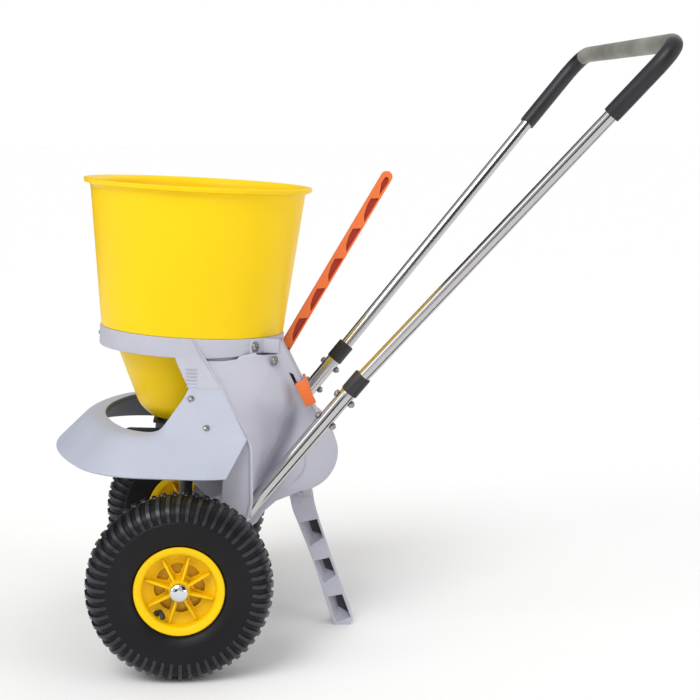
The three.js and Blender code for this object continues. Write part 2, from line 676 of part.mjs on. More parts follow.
// The machine's leaning frame, for what is fixed to it but drawn square to the ground.
const leaning = (geometry) => geometry.rotateY(PARKED_TILT).translate(0, 0, WHEEL_RADIUS);
add(level, 'support_leg', cut(
  uprightPlate(LEG_OUTLINE, -LEG_HALF_WIDTH, LEG_HALF_WIDTH), leaning(legPin(4.3)),
), grey());
add(machine, 'leg_pin', legPin(4), steel());

// ---------------------------------------------------------------- handle
const COLLAR_AT = [250.3, 159.3, 395.8];     // x, half width and height of each collar
const TUBE_LOW = [55.5, 145.7, 165];
const HANDLE_CORNER = [665, 304.5, 868.5];
const HANDLE_BEND = 52;
const BEND_STOPS = 8;             // straight pieces in each of the handle's bends
const GRIP_START = { [-1]: 0.795, 1: 0.761 };   // near and far: share of the way from the collar
const GRIP_LAST = 5;              // stop of the bend just past which a grip ends

const sided = ([x, y, z], side) => new THREE.Vector3(x, side * y, z);

function lowerTube(side) {
  const top = sided(COLLAR_AT, side);
  const foot = sided(TUBE_LOW, side);
  const along = top.clone().sub(foot).normalize();
  const past = along.clone().multiplyScalar(5);
  const bar = barBetween(foot.toArray(), top.toArray(), TUBE_RADIUS, 16);
  const bore = barBetween(foot.clone().sub(past).toArray(), top.clone().add(past).toArray(), TUBE_BORE, 16);
  return cut(bar, bore, ...boltsOf(side).map(([a, b]) => barBetween(a, b, 3.4, 8)), footBolt(side, 4.4));
}

// The two bolts through the top of a lower tube, square to it.
function boltsOf(side) {
  const top = sided(COLLAR_AT, side);
  const along = top.clone().sub(sided(TUBE_LOW, side)).normalize();
  const across = new THREE.Vector3(along.z, 0, -along.x).normalize();
  return [27, 68].map((down) => {
    const middle = top.clone().addScaledVector(along, -down);
    const half = TUBE_RADIUS + 4;
    return [middle.clone().addScaledVector(across, -half).toArray(),
      middle.clone().addScaledVector(across, half).toArray()];
  });
}

function tubeBolt([a, b]) {
  const start = new THREE.Vector3(...a);
  const end = new THREE.Vector3(...b);
  const along = end.clone().sub(start).normalize();
  const head = barBetween(a, start.clone().addScaledVector(along, 3.4).toArray(), 5.5, 16);
  const nut = barBetween(b, end.clone().addScaledVector(along, -3.4).toArray(), 5.5, 6);
  return join(barBetween(a, b, 3), head, nut);
}

// The bolt that holds a lower tube's foot to the frame's leg.
function footBolt(side, radius) {
  const low = sided(TUBE_LOW, side);
  const along = sided(COLLAR_AT, side).sub(low).normalize();
  const middle = low.addScaledVector(along, 30);
  const from = [middle.x, side * 128, middle.z];
  const to = [middle.x, side * (LEG_Y - PLATE - 1), middle.z];
  return barBetween(from, to, radius, 12);
}

function collar(side) {
  const middle = sided(COLLAR_AT, side);
  const down = middle.clone().sub(sided(TUBE_LOW, side)).normalize();
  const up = sided(HANDLE_CORNER, side).sub(middle).normalize();
  const end = (direction, length) => middle.clone().addScaledVector(direction, length).toArray();
  return cut(
    barBetween(end(down, -17), end(down, 17), COLLAR_RADIUS, 16),
    barBetween(end(down, -30), end(down, 1), TUBE_RADIUS + 0.4, 16),
    barBetween(end(down, -1), end(up, 30), UPPER_RADIUS + 1.2, 16),
  );
}

// The stops round one bend of the handle, from its side towards the cross bar.
function bendStops(side) {
  const corner = sided(HANDLE_CORNER, side);
  const toBase = sided(COLLAR_AT, side).sub(corner).normalize();
  return new THREE.QuadraticBezierCurve3(
    corner.clone().addScaledVector(toBase, HANDLE_BEND),
    corner,
    corner.clone().add(new THREE.Vector3(0, -side * HANDLE_BEND, 0)),
  ).getPoints(BEND_STOPS);
}

// A place a share of the way up the handle's side, from the collar to the corner.
const sideStop = (side, share) => sided(COLLAR_AT, side).lerp(sided(HANDLE_CORNER, side), share);

const halfHandle = (side) => [sideStop(side, 0.004), ...bendStops(side)];
const wholeHandle = () => [...halfHandle(-1), ...halfHandle(1).reverse()];

const sleeveOn = (outside, inside) => cut(
  facingOut(indexed(barAlong(outside, GRIP_RADIUS))),
  facingOut(indexed(barAlong(inside, UPPER_RADIUS + FIT))),
);

// A soft sleeve up one side of the handle and most of the way round its bend.
function grip(side) {
  const bend = bendStops(side);
  const last = bend[GRIP_LAST].clone().lerp(bend[GRIP_LAST + 1], 0.44);
  const inside = [sideStop(side, GRIP_START[side] - 0.02), ...bend.slice(0, GRIP_LAST + 2)];
  return sleeveOn([sideStop(side, GRIP_START[side]), ...bend.slice(0, GRIP_LAST + 1), last], inside);
}

// The sleeve along the cross bar, between the two grips.
function barSleeve() {
  const halves = [-1, 1].map((side) => {
    const bend = bendStops(side);
    const first = bend[GRIP_LAST].clone().lerp(bend[GRIP_LAST + 1], 0.5);
    return { outside: [first, ...bend.slice(GRIP_LAST + 1)], inside: bend.slice(GRIP_LAST) };
  });
  const through = (key) => [...halves[0][key], ...halves[1][key].reverse()];
  return sleeveOn(through('outside'), through('inside'));
}

add(level, 'upper_handle', facingOut(indexed(barAlong(wholeHandle(), UPPER_RADIUS))), steel());
for (const [name, side] of SIDES) {
  add(level, `lower_tube_${name}`, lowerTube(side), steel());
  boltsOf(side).forEach((ends, k) => add(level, `tube_bolt_${name}_${k + 1}`, tubeBolt(ends), steel()));
  add(level, `tube_foot_bolt_${name}`, footBolt(side, 4), steel());
  add(level, `collar_${name}`, collar(side), black());
  add(level, `grip_${name}`, grip(side), rubber());
}
add(level, 'bar_sleeve', barSleeve(), finish(0x86867c, 0.7));

// ---------------------------------------------------------------- wheels
const RIM_FLANGE = 62.5;
const RIM_HALF_WIDTH = 31;
const SPOKES = 8;
const HUB_HALF_WIDTH = 30;

function tyre() {
  const profile = [
    [63, -29], [76, -38], [98, -TYRE_HALF_WIDTH], [112, -40], [124, -32], [129, -20],
    [WHEEL_RADIUS, 0], [129, 20], [124, 32], [112, 40], [98, TYRE_HALF_WIDTH], [76, 38],
    [63, 29], [60, 24], [60, -24], [63, -29],
  ];
  return turnedY(profile, 36);
}

function rim(bore) {
  const barrel = turnedY([
    [55, -RIM_HALF_WIDTH], [RIM_FLANGE, -RIM_HALF_WIDTH], [RIM_FLANGE, -29.6], [59.4, -24.5],
    [59.4, 24.5], [RIM_FLANGE, 29.6], [RIM_FLANGE, RIM_HALF_WIDTH], [55, RIM_HALF_WIDTH],
    [51, 8], [51, -8], [55, -RIM_HALF_WIDTH],
  ], 32);
  const hub = turnedY(sleeve(bore, 19, -HUB_HALF_WIDTH, HUB_HALF_WIDTH), 16);
  const spokes = [];
  for (let k = 0; k < SPOKES; k += 1) {
    spokes.push(box(16, 54, -16, 16, -3, 3).rotateY((2 * Math.PI * (k + 0.25)) / SPOKES));
  }
  return cut(join(barrel, hub, ...spokes), turnedY(rod(bore, -50, 50), 16));
}

for (const [name, side] of SIDES) {
  const y = side * WHEEL_Y;
  const drives = side < 0;
  const bore = drives ? AXLE_RADIUS + FIT : 14;
  let wheel = rim(bore);
  if (drives) wheel = cut(wheel, turnedZ(rod(3 + FIT, -16, 16), 12).translate(0, 24, 0));
  add(machine, `rim_${name}`, wheel.translate(0, y, 0), yellow());
  add(machine, `tyre_${name}`, tyre().translate(0, y, 0), rubber());
  const cap = turnedY([[0, 0], [12.5, 0], [12.5, 3], [9, 6], [0, 7]], 24);
  if (side < 0) cap.rotateX(Math.PI);
  add(machine, `axle_cap_${name}`, cap.translate(0, side * 272.4, 0), steel());
  const valve = barBetween([-23, y + side * 8, -36], [-30, y + side * 20, -40], 3, 8);
  add(machine, `valve_${name}`, valve, black());
}
add(machine, 'wheel_bush_far', turnedY(sleeve(AXLE_RADIUS + FIT, 13.7, WHEEL_Y - 30, WHEEL_Y + 30), 24),
  black());

export default spreader;
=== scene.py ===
"""Looks of the garden spreader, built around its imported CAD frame.

Most shapes are drawn in millimetres in the machine's own frame, whose origin is the middle of the
axle and which leans back a little when the spreader is parked. LEVEL is for what stands square to
the ground: the support leg and the handle.
"""

from math import acos, asin, cos, hypot, pi, radians, sin, sqrt

import bmesh
import bpy
from mathutils import Matrix, Vector


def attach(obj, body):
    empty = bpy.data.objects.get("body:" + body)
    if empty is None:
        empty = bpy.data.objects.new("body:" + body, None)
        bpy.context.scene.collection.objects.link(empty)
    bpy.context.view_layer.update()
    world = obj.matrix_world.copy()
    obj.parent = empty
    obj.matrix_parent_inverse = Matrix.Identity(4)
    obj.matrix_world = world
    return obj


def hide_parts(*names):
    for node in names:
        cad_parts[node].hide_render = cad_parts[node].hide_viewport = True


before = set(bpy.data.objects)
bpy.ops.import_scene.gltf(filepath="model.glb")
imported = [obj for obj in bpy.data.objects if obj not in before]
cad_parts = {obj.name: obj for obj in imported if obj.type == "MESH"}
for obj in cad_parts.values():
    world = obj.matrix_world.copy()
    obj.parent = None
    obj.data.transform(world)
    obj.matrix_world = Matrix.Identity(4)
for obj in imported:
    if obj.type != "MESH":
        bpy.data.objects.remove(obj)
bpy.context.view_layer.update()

# ---- driving dimensions, mm
ORIGIN_SHIFT = -246.17
AXLE_HEIGHT = 130.0
PARKED_TILT = 0.0558
WHEEL_Y = 236.5
LUGS = 54
SPOKES = 8
SPOKE_PHASE = radians(-14)
VANES = 6

HOPPER_TOP = 545.0
HOPPER_FLOOR = 195.0
RING_BOTTOM = 302.0
RING_TOP = 330.0
RING_RADIUS = 136.6
GUARD_BOTTOM = 150.0
GUARD_CREASE = 198.0
GUARD_SEAM = 262.0
PAD_TURN = radians(46.7)
LEG_Y = 188.0
END_Y = (91, 95)
BOX_Y = 78.0
BULGE = (168.0, 158.0)
BULGE_RADIUS = 55.0
REAR_SLOPE = 0.545
LEVER_PIVOT = (110.0, 250.0)
LEVER_LENGTH = 360.0
LEVER_ANGLE = 0.485
CRANK_ANGLE = -0.262

LEVEL = Matrix.Scale(0.001, 4) @ Matrix.Translation((ORIGIN_SHIFT, 0, 0))
MACHINE = LEVEL @ Matrix.Translation((0, 0, AXLE_HEIGHT)) @ Matrix.Rotation(PARKED_TILT, 4, "Y")
SIDES = (("near", -1), ("far", 1))


# ---- materials
def node_material(name, color, roughness, metallic=0.0, **sockets):
    material = bpy.data.materials.new(name)
    material.use_nodes = True
    shader = material.node_tree.nodes["Principled BSDF"]
    shader.inputs["Base Color"].default_value = (*color, 1)
    shader.inputs["Roughness"].default_value = roughness
    shader.inputs["Metallic"].default_value = metallic
    for socket, value in sockets.items():
        shader.inputs[socket.replace("_", " ")].default_value = value
    return material


def add_node(material, kind, **values):
    node = material.node_tree.nodes.new(kind)
    for key, value in values.items():
        if key in node.inputs:
            node.inputs[key].default_value = value
        else:
            setattr(node, key, value)
    return node


def feed(material, output, socket):
    """Drives one of the material's own sockets by another node's output."""
    shader = material.node_tree.nodes["Principled BSDF"]
    material.node_tree.links.new(output, shader.inputs[socket])


def noise(material, scale, detail=3.0):
    """A noise pattern in object coordinates, which are metres."""
    coords = add_node(material, "ShaderNodeTexCoord")
    node = add_node(material, "ShaderNodeTexNoise", Scale=scale, Detail=detail)
    material.node_tree.links.new(coords.outputs["Object"], node.inputs["Vector"])
    return node.outputs["Fac"]


def vary_color(material, factor, dark, light, low=0.35, high=0.65):
    ramp = add_node(material, "ShaderNodeValToRGB")
    stops = ramp.color_ramp.elements
    for stop, place, color in zip(stops, (low, high), (dark, light)):
        stop.position = place
        stop.color = (*color, 1)
    material.node_tree.links.new(factor, ramp.inputs["Fac"])
    feed(material, ramp.outputs["Color"], "Base Color")


def vary_roughness(material, factor, low, high):
    spread = add_node(material, "ShaderNodeMapRange")
    spread.inputs["To Min"].default_value = low
    spread.inputs["To Max"].default_value = high
    material.node_tree.links.new(factor, spread.inputs["Value"])
    feed(material, spread.outputs["Result"], "Roughness")


def bump(material, factor, height, strength=0.5):
    node = add_node(material, "ShaderNodeBump", Strength=strength, Distance=height)
    material.node_tree.links.new(factor, node.inputs["Height"])
    feed(material, node.outputs["Normal"], "Normal")


def moulded(name, color, roughness, shade=0.04, grain=2200, height=0.00006, **sockets):
    """Moulded plastic: slow colour drift, cloudy gloss and a fine leathery grain."""
    material = node_material(name, color, roughness, **sockets)
    dark = tuple(c * (1 - shade) for c in color)
    light = tuple(min(1, c * (1 + shade)) for c in color)
    vary_color(material, noise(material, 9, detail=4), dark, light)
    clouds = noise(material, 38, detail=5)
    vary_roughness(material, clouds, roughness - 0.05, roughness + 0.07)
    bump(material, noise(material, grain, detail=2), height)
    return material


def metal(name, color, roughness, grain=900, marks=0.04):
    """Bright metal with a fine grain and faint handling marks."""
    material = node_material(name, color, roughness, 1.0)
    fine = noise(material, grain)
    dark = tuple(c * (1 - marks) for c in color)
    vary_color(material, fine, dark, color, 0.3, 0.6)
    smears = noise(material, 24, detail=4)
    vary_roughness(material, smears, roughness * 0.85, roughness * 1.25)
    bump(material, fine, 0.00001, 0.12)
    return material


YELLOW = moulded("yellow_plastic", (0.93, 0.62, 0.001), 0.36, 0.02, 1500, 0.00003,
                 Specular_IOR_Level=0.22)
RIM_YELLOW = moulded("rim_plastic", (0.87, 0.56, 0.001), 0.42, 0.02, 1500, 0.00003,
                     Specular_IOR_Level=0.22)
# painted shade: a more orange copy of the rim's yellow for the floor seen through the wheel's
# windows
RIM_PAINTED_SHADE = moulded("rim_floor", (0.95, 0.58, 0.001), 0.5, 0.02, 1500, 0.00003)
GREY = moulded("grey_plastic", (0.47, 0.47, 0.54), 0.5, Specular_IOR_Level=0.35)
# painted shade: a near-black grey for the deep hollows of the leg's pockets
GREY_PAINTED_SHADE = moulded("pocket_painted_shade", (0.07, 0.07, 0.08), 0.6, Specular_IOR_Level=0.3)
GUARD_GREY = moulded("guard_plastic", (0.44, 0.465, 0.56), 0.52, Specular_IOR_Level=0.35)
# painted shade: a dark grey for the inner faces of the guard and the arms, which lie in shadow
INSIDE_PAINTED_SHADE = moulded("inside_painted_shade", (0.13, 0.135, 0.155), 0.6, Specular_IOR_Level=0.3)
BLACK = moulded("black_plastic", (0.022, 0.022, 0.024), 0.45, 0.15)
GRIP = moulded("grip_sleeve", (0.013, 0.0135, 0.018), 0.42, 0.2, 900, 0.0002)
SLEEVE = moulded("bar_sleeve_foam", (0.235, 0.235, 0.205), 0.6, 0.3, 700, 0.0002)
RUBBER = moulded("tyre_rubber", (0.0055, 0.0055, 0.0075), 0.45, 0.25, 1300, 0.00008,
                 Specular_IOR_Level=0.24)
# the tread bars' rubber is glossier and lighter than the tyre's; the lighter colour is a painted
# highlight on the lugs
TREAD_PAINTED_HIGHLIGHT = moulded("tread_rubber_painted_highlight", (0.014, 0.0145, 0.02), 0.34, 0.25, 1300, 0.00008)
ORANGE = moulded("orange_plastic", (0.83, 0.17, 0.03), 0.42)
# painted shade: a dark red that stands in for the orange in shadow on the floors of the lever's
# pockets
POCKET_PAINTED_SHADE = moulded("orange_pocket_painted_shade", (0.36, 0.02, 0.008), 0.5)
STAINLESS = metal("stainless_tube", (0.56, 0.55, 0.55), 0.15)
ZINC = metal("zinc_steel", (0.4, 0.39, 0.385), 0.28, 600, 0.12)
CHROME = metal("chrome", (0.72, 0.72, 0.74), 0.08)
BRASS = metal("gear_brass", (0.55, 0.38, 0.15), 0.3, 600, 0.1)
PANEL = node_material("dark_panel", (0.02, 0.02, 0.024), 1.0)
FLOOR = node_material("pale_floor", (0.93, 0.93, 0.93), 1.0, Specular_IOR_Level=0.0)


# ---- lines and meshes, in mm
def eased(points, radii, steps=4):
    """A line of points, flat or in space, with its corners rounded. Each corner takes steps + 1
    points, so lines with the same number of corners match point for point."""
    points = [Vector(p) for p in points]
    if not hasattr(radii, "__len__"):
        radii = [radii] * len(points)
    line = [points[0]]
    for before, here, after, radius in zip(points, points[1:], points[2:], radii[1:]):
        back = before - here
        ahead = after - here
        reach = min(radius, back.length * 0.48, ahead.length * 0.48)
        start = here + back.normalized() * reach
        end = here + ahead.normalized() * reach
        for k in range(steps + 1):
            t = k / steps
            line.append(start.lerp(here, t).lerp(here.lerp(end, t), t))
    line.append(points[-1])
    return line


def rounded(corners, radii, steps=3):
    """A closed outline with its corners rounded."""
    return eased([*corners, *corners[:2]], radii, steps)[1:-1]


def profile(corners, steps=3):
    """A rounded profile from corners of [radius, height, rounding]."""
    return eased([c[:2] for c in corners], [c[2] for c in corners], steps)


def between(stops, at):
    """The value at a place among stops of [place, value], held beyond both ends."""
    if at <= stops[0][0]:
        return stops[0][1]
    for (before, low), (after, high) in zip(stops, stops[1:]):
        if at <= after:
            return low + (high - low) * (at - before) / (after - before)
    return stops[-1][1]


def other_side(line):
    return [Vector((x, -y, z)) for x, y, z in line]


def turned(outline, sides=96, closed=True):
    """A solid turned about the z axis from [radius, height] points."""
    bm = bmesh.new()
    rings = []
    for radius, height in outline:
        if radius < 1e-6:
            rings.append([bm.verts.new((0, 0, height))])
            continue
        angles = (2 * pi * k / sides for k in range(sides))
        rings.append([bm.verts.new((radius * cos(a), radius * sin(a), height))
                      for a in angles])
    pairs = list(zip(rings, rings[1:]))
    if closed:
        pairs.append((rings[-1], rings[0]))
    for low, high in pairs:
        for k in range(sides):
            after = (k + 1) % sides
            corners = [low[k % len(low)], low[after % len(low)],
                       high[after % len(high)], high[k % len(high)]]
            corners = list(dict.fromkeys(corners))
            if len(corners) > 2:
                bm.faces.new(corners)
    return bm


def cylinder(inner, outer, low, high, ease=1.0, sides=48, steps=2):
    """A cylinder about the z axis, hollow unless inner is 0, with rounded edges."""
    corners = [(inner, low), (outer, low), (outer, high), (inner, high)]
    return turned(eased(corners, ease, steps), sides, closed=inner > 0)


def aimed(bm, origin, direction, roll=0.0):
    """Moves a mesh made about +z so that it stands on origin and points along direction."""
    turn = Vector((0, 0, 1)).rotation_difference(Vector(direction).normalized())
    place = Matrix.Translation(Vector(origin)) @ turn.to_matrix().to_4x4()
    bm.transform(place @ Matrix.Rotation(roll, 4, "Z"))
    return bm


def about_y(bm, y=0.0):
    """Turns a mesh made about z to lie about the y axis, moved along it."""
    bm.transform(Matrix.Translation((0, y, 0)) @ Matrix.Rotation(-pi / 2, 4, "X"))
    return bm


def sheet(rows, closed=False):
    """A sheet through a grid of points; closed joins the last column to the first."""
    bm = bmesh.new()
    grid = [[bm.verts.new(p) for p in row] for row in rows]
    columns = len(grid[0])
    for low, high in zip(grid, grid[1:]):
        for k in range(columns if closed else columns - 1):
            after = (k + 1) % columns
            bm.faces.new((low[k], low[after], high[after], high[k]))
    return bm


def eased_sheet(rows, radii, steps):
    """A sheet through rows of points, rounded from row to row."""
    return sheet([eased(column, radii, steps) for column in zip(*rows)])


def solid(rings):
    """A solid through rings of points, with flat ends."""
    bm = sheet(rings, closed=True)
    corners = list(bm.verts)
    count = len(rings[0])
    bm.faces.new(corners[:count])
    bm.faces.new(corners[:-count - 1:-1])
    return bm


def plate(outline, y0, y1):
    """A flat plate whose outline lies in x and z and which fills y0 to y1."""
    return solid([[(x, y, z) for x, z in outline] for y in (y0, y1)])


def block(low, high):
    bm = bmesh.new()
    bmesh.ops.create_cube(bm, size=1)
    size = Vector(high) - Vector(low)
    middle = (Vector(high) + Vector(low)) / 2
    bm.transform(Matrix.Translation(middle) @ Matrix.Diagonal((*size, 1)))
    return bm


def swept(points, radii, sides=32):
    """A round bar along a line of points, with a radius at each and closed ends."""
    points = [Vector(p) for p in points]
    if not hasattr(radii, "__len__"):
        radii = [radii] * len(points)
    steps = [(b - a).normalized() for a, b in zip(points, points[1:])]
    tangents = [steps[0]] + [(a + b).normalized() for a, b in zip(steps, steps[1:])] + [steps[-1]]
    side = tangents[0].orthogonal().normalized()
    turns = [2 * pi * k / sides for k in range(sides)]
    rings = []
    for point, tangent, radius in zip(points, tangents, radii):
        side = (side - tangent * side.dot(tangent)).normalized()
        other = tangent.cross(side)
        rings.append([point + (side * cos(a) + other * sin(a)) * radius for a in turns])
    return solid(rings)


def bead(line, radius, tip, sides):
    """A round bar along a line, narrower at its two tips."""
    return swept(line, [tip] + [radius] * (len(line) - 2) + [tip], sides)


def joined(*parts):
    """Several meshes as one."""
    whole = parts[0]
    for part in parts[1:]:
        held = bpy.data.meshes.new("held")
        part.to_mesh(held)
        part.free()
        whole.from_mesh(held)
        bpy.data.meshes.remove(held)
    return whole


def facing_out(bm, side, place):
    """Turns a mesh made about +z to look out from one side of the machine, and moves it."""
    about_y(bm)
    if side < 0:
        bm.transform(Matrix.Diagonal((1, -1, 1, 1)))
        bmesh.ops.reverse_faces(bm, faces=bm.faces)
    bm.transform(Matrix.Translation(place))
    return bm


# ---- pieces
def modifier(kind, **values):
    def apply(obj):
        made = obj.modifiers.new(kind, kind)
        for key, value in values.items():
            setattr(made, key, value)
    return apply


def bevel(width, segments=2, angle=35):
    return modifier("BEVEL", width=width, segments=segments, limit_method="ANGLE",
                    angle_limit=radians(angle))


def thicken(wall):
    """Gives a sheet a wall behind its faces."""
    return modifier("SOLIDIFY", thickness=wall, offset=-1, use_even_offset=False)


def linked(name, data):
    obj = bpy.data.objects.new(name, data)
    bpy.context.scene.collection.objects.link(obj)
    return obj


def placed(name, bm):
    """An object in the scene from a mesh, which is used up."""
    mesh = bpy.data.meshes.new(name)
    bm.to_mesh(mesh)
    bm.free()
    return linked(name, mesh)


def carve(bm):
    """Cuts a mesh out of a piece."""
    def apply(obj):
        bmesh.ops.recalc_face_normals(bm, faces=bm.faces)
        tool = placed("tool", bm)
        modifier("BOOLEAN", object=tool, operation="DIFFERENCE", solver="EXACT")(obj)
        settle(obj)
        bpy.data.objects.remove(tool)
    return apply


def settle(obj):
    """Replaces an object's mesh by what its modifiers make of it."""
    bpy.context.view_layer.update()
    shaped = obj.evaluated_get(bpy.context.evaluated_depsgraph_get())
    mesh = bpy.data.meshes.new_from_object(shaped)
    obj.modifiers.clear()
    obj.data = mesh


def piece(name, bm, material, nodes=(), work=(), sharp=32, away_from=None, body="chassis",
          slot=None, space=MACHINE):
    """A piece of the visual model, which replaces CAD nodes. work is what is done to its mesh,
    and away_from is a point that an open sheet's faces turn from."""
    if away_from is None:
        bmesh.ops.recalc_face_normals(bm, faces=bm.faces)
    else:
        bm.normal_update()
        outwards = sum((f.calc_center_median() - Vector(away_from)).dot(f.normal) * f.calc_area()
                       for f in bm.faces)
        if outwards < 0:
            bmesh.ops.reverse_faces(bm, faces=bm.faces)
    obj = placed(name, bm)
    for step in work:
        step(obj)
    settle(obj)
    obj.data.transform(space)
    obj.data.name = name
    obj.data.materials.clear()
    obj.data.materials.append(material)
    obj.data.shade_smooth()
    obj.data.set_sharp_from_angle(angle=radians(sharp))
    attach(obj, body)
    if nodes:
        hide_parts(*nodes)
    return obj


def paint_inside_shade(obj, middle):
    """The faces that look back at the moulding's middle are painted with shade: a darker, rougher
    grey stands in for the shadow inside the moulding.
    """
    inwards = -0.02  # metres
    obj.data.materials.append(INSIDE_PAINTED_SHADE)
    middle = MACHINE @ Vector(middle)
    for face in obj.data.polygons:
        outwards = (face.center - middle).dot(face.normal)
        face.material_index = 1 if outwards < inwards else 0


# ---- hopper and ring
def make_hopper():
    wall = 3.5
    corners = [
        (8.5, HOPPER_FLOOR, 0), (54, HOPPER_FLOOR, 8), (70, 208, 10), (76, 216, 8),
        (98, 267.6, 20), (112, RING_BOTTOM + 1, 4), (129, 322, 6), (131.5, RING_TOP - 1, 1),
        (131.5, RING_TOP + 0.3, 0.5), (135, RING_TOP + 0.3, 0.8), (157.6, 532, 1.5),
        (159.5, 537.5, 2), (166.5, 538, 1.5), (168, HOPPER_TOP - 0.5, 2),
        (165.5, HOPPER_TOP + 0.4, 1.5), (160.5, HOPPER_TOP - 1.2, 2), (154.5, 538.5, 5),
        (135 - wall, RING_TOP + 6, 6), (127, RING_TOP - 2, 3), (108, RING_BOTTOM + 2, 6),
        (94, 267.6, 20), (72, 217, 8), (66, 210, 8), (52, HOPPER_FLOOR + wall, 8),
        (8.5, HOPPER_FLOOR + wall, 0),
    ]
    port = block((-36, -18, 150), (-14, 18, 206))
    piece("hopper_shell", turned(profile(corners, 5), 160), YELLOW, ["hopper"], [carve(port)], 40)


# heights of the ring's lower edge along x: it steps up behind the arms
RING_EDGE = ((10, 301.5), (68, 305), (93, 310.5), (200, 311.5))


def ring_band():
    inner = RING_RADIUS - 4
    line = eased([(inner, 316), (inner, RING_BOTTOM), (RING_RADIUS, RING_BOTTOM),
                  (RING_RADIUS, RING_TOP), (inner, RING_TOP), (inner, 317)], 1.2, 3)
    band = turned(line, 160)
    for corner in band.verts:
        share = (RING_TOP - corner.co.z) / (RING_TOP - RING_BOTTOM)
        corner.co.z = RING_TOP - share * (RING_TOP - between(RING_EDGE, corner.co.x))
    return band


# Rows of the arm from its top: [height, front edge, rear edge, outer face]. The rear edge is the
# raised crease that runs down to the upright flange beside the wheel.
ARM_ROWS = (
    (RING_TOP - 0.6, -14, 1, 137.6), (RING_BOTTOM, -22, 20, 138.2), (284, -13, 32, 141.5),
    (GUARD_SEAM, -1, 47, 147), (235, 17, 63, 166), (203, 38, 83, 188), (188, 47, 92.5, LEG_Y),
    (150, 54, 94.5, LEG_Y), (105, 52, 97, LEG_Y), (60, 34, 82, LEG_Y), (20, -8, 44, LEG_Y),
    (-8, -14, 14, LEG_Y),
)


def arm_sheet(side):
    shares = (0, 0.04, 0.3, 0.62, 0.9, 1)
    rows = []
    for height, front, rear, y in ARM_ROWS:
        line = []
        for share in shares:
            x = front + (rear - front) * share
            face = y
            if height > RING_BOTTOM - 1:
                blend = min(1, share / 0.7)
                face = sqrt(RING_RADIUS ** 2 - x * x) + (y - RING_RADIUS) * blend
            line.append(Vector((x, side * face, height)))
        rows.append(line)
    return eased_sheet(rows, [0, 6, 10, 14, 14, 7, 8, 20, 14, 12, 10, 0], 4)


def flange(side):
    """The lip that stands out along the rear edge of the frame's leg."""
    path = [(86, 187, 200), (92.5, 188.5, 188), (94.5, 188.5, 150), (97, 188.5, 105),
            (88, 188.5, 74)]
    line = eased([(x - 2.2, side * y, z) for x, y, z in path], [0, 5, 10, 10, 0], 4)
    return bead(line, 2.6, 0.6, 16)


def arm_crease(side):
    """The raised bead along the arm's rear edge, from the ring down to the flange."""
    path = [(x, side * (y + 0.3), z) for z, _, x, y in ARM_ROWS[:6]]
    line = eased([(x + 0.6, y, z) for x, y, z in path], [0, 5, 10, 14, 14, 0], 4)
    return bead(line, 1.5, 0.5, 12)


def embossed_lines(side):
    """Short raised lines on the arm above the guard."""
    lines = []
    for k in range(6):
        z = 287.4 - 4.9 * k
        lean = 141.3 + (288 - z) * 0.235
        x0 = -5.2 + 0.2 * k
        ends = [(x0, side * lean, z), (x0 + 1, side * (lean + 0.2), z),
                (x0 + 15, side * (lean + 0.2), z), (x0 + 16, side * lean, z)]
        lines.append(bead(ends, 0.6, 0.3, 8))
    return joined(*lines)


def make_front_frame():
    gap = block((60, -13, RING_BOTTOM - 20), (160, 13, RING_TOP + 20))
    piece("frame_ring", ring_band(), GREY, ["front_frame"], [carve(gap)], 40)
    seat = turned(eased([(127, 289), (129.5, 289), (131.5, 312), (129, 312)], 0.6, 2), 128)
    front = block((-160, -160, 280), (2, 160, 320))
    piece("frame_seat", seat, GREY,
          work=[carve(front), carve(block((60, -13, 280), (160, 13, 320)))], sharp=40)
    for name, side in SIDES:
        middle = (20, side * 40, 200)
        shell = piece(f"frame_arm_{name}", arm_sheet(side), GREY, work=[thicken(4), bevel(0.9, 3)],
                      sharp=50, away_from=middle)
        paint_inside_shade(shell, middle)
        piece(f"frame_flange_{name}", flange(side), GREY)
        piece(f"frame_crease_{name}", arm_crease(side), GREY)
        piece(f"frame_marks_{name}", embossed_lines(side), GREY)
        boss = about_y(cylinder(14.4, 22, -10, 10, 1.2, 64, 3), side * (LEG_Y + 1))
        piece(f"frame_boss_{name}", boss, GREY)
        # the squared pad that carries the rear ring bolt
        pad = block((RING_RADIUS - 3, -14, 308.4), (RING_RADIUS + 3.2, 14, 329.6))
        pad.transform(Matrix.Rotation(side * PAD_TURN, 4, "Z"))
        piece(f"ring_pad_{name}", pad, GREY, work=[bevel(1.4, 3)])
        # the flat end that meets the rear housing's corner
        y = sorted(side * reach for reach in END_Y)
        end = block((103, y[0], 308.6), (126.5, y[1], 329.4))
        piece(f"ring_end_{name}", end, GREY, work=[bevel(1.2, 3)])


# ---- spread guard
def front_curve(front_x, radius, corner_radius, half_width, last_x, arc_steps=14, corner_steps=16):
    """Half of a rounded front outline, from its middle round the corner as far as last_x."""
    reach = radius - corner_radius
    turn = asin((half_width - corner_radius) / reach)
    centre_x = front_x + radius
    corner_x = centre_x - reach * cos(turn)
    corner_y = half_width - corner_radius
    last_turn = acos(min(1, (corner_x - last_x) / corner_radius))
    points = []
    for k in range(arc_steps + 1):
        a = turn * k / arc_steps
        points.append((centre_x - radius * cos(a), radius * sin(a)))
    for k in range(1, corner_steps + 1):
        a = turn + (last_turn - turn) * k / corner_steps
        points.append((corner_x - corner_radius * cos(a),
                       corner_y + corner_radius * sin(a)))
    return points


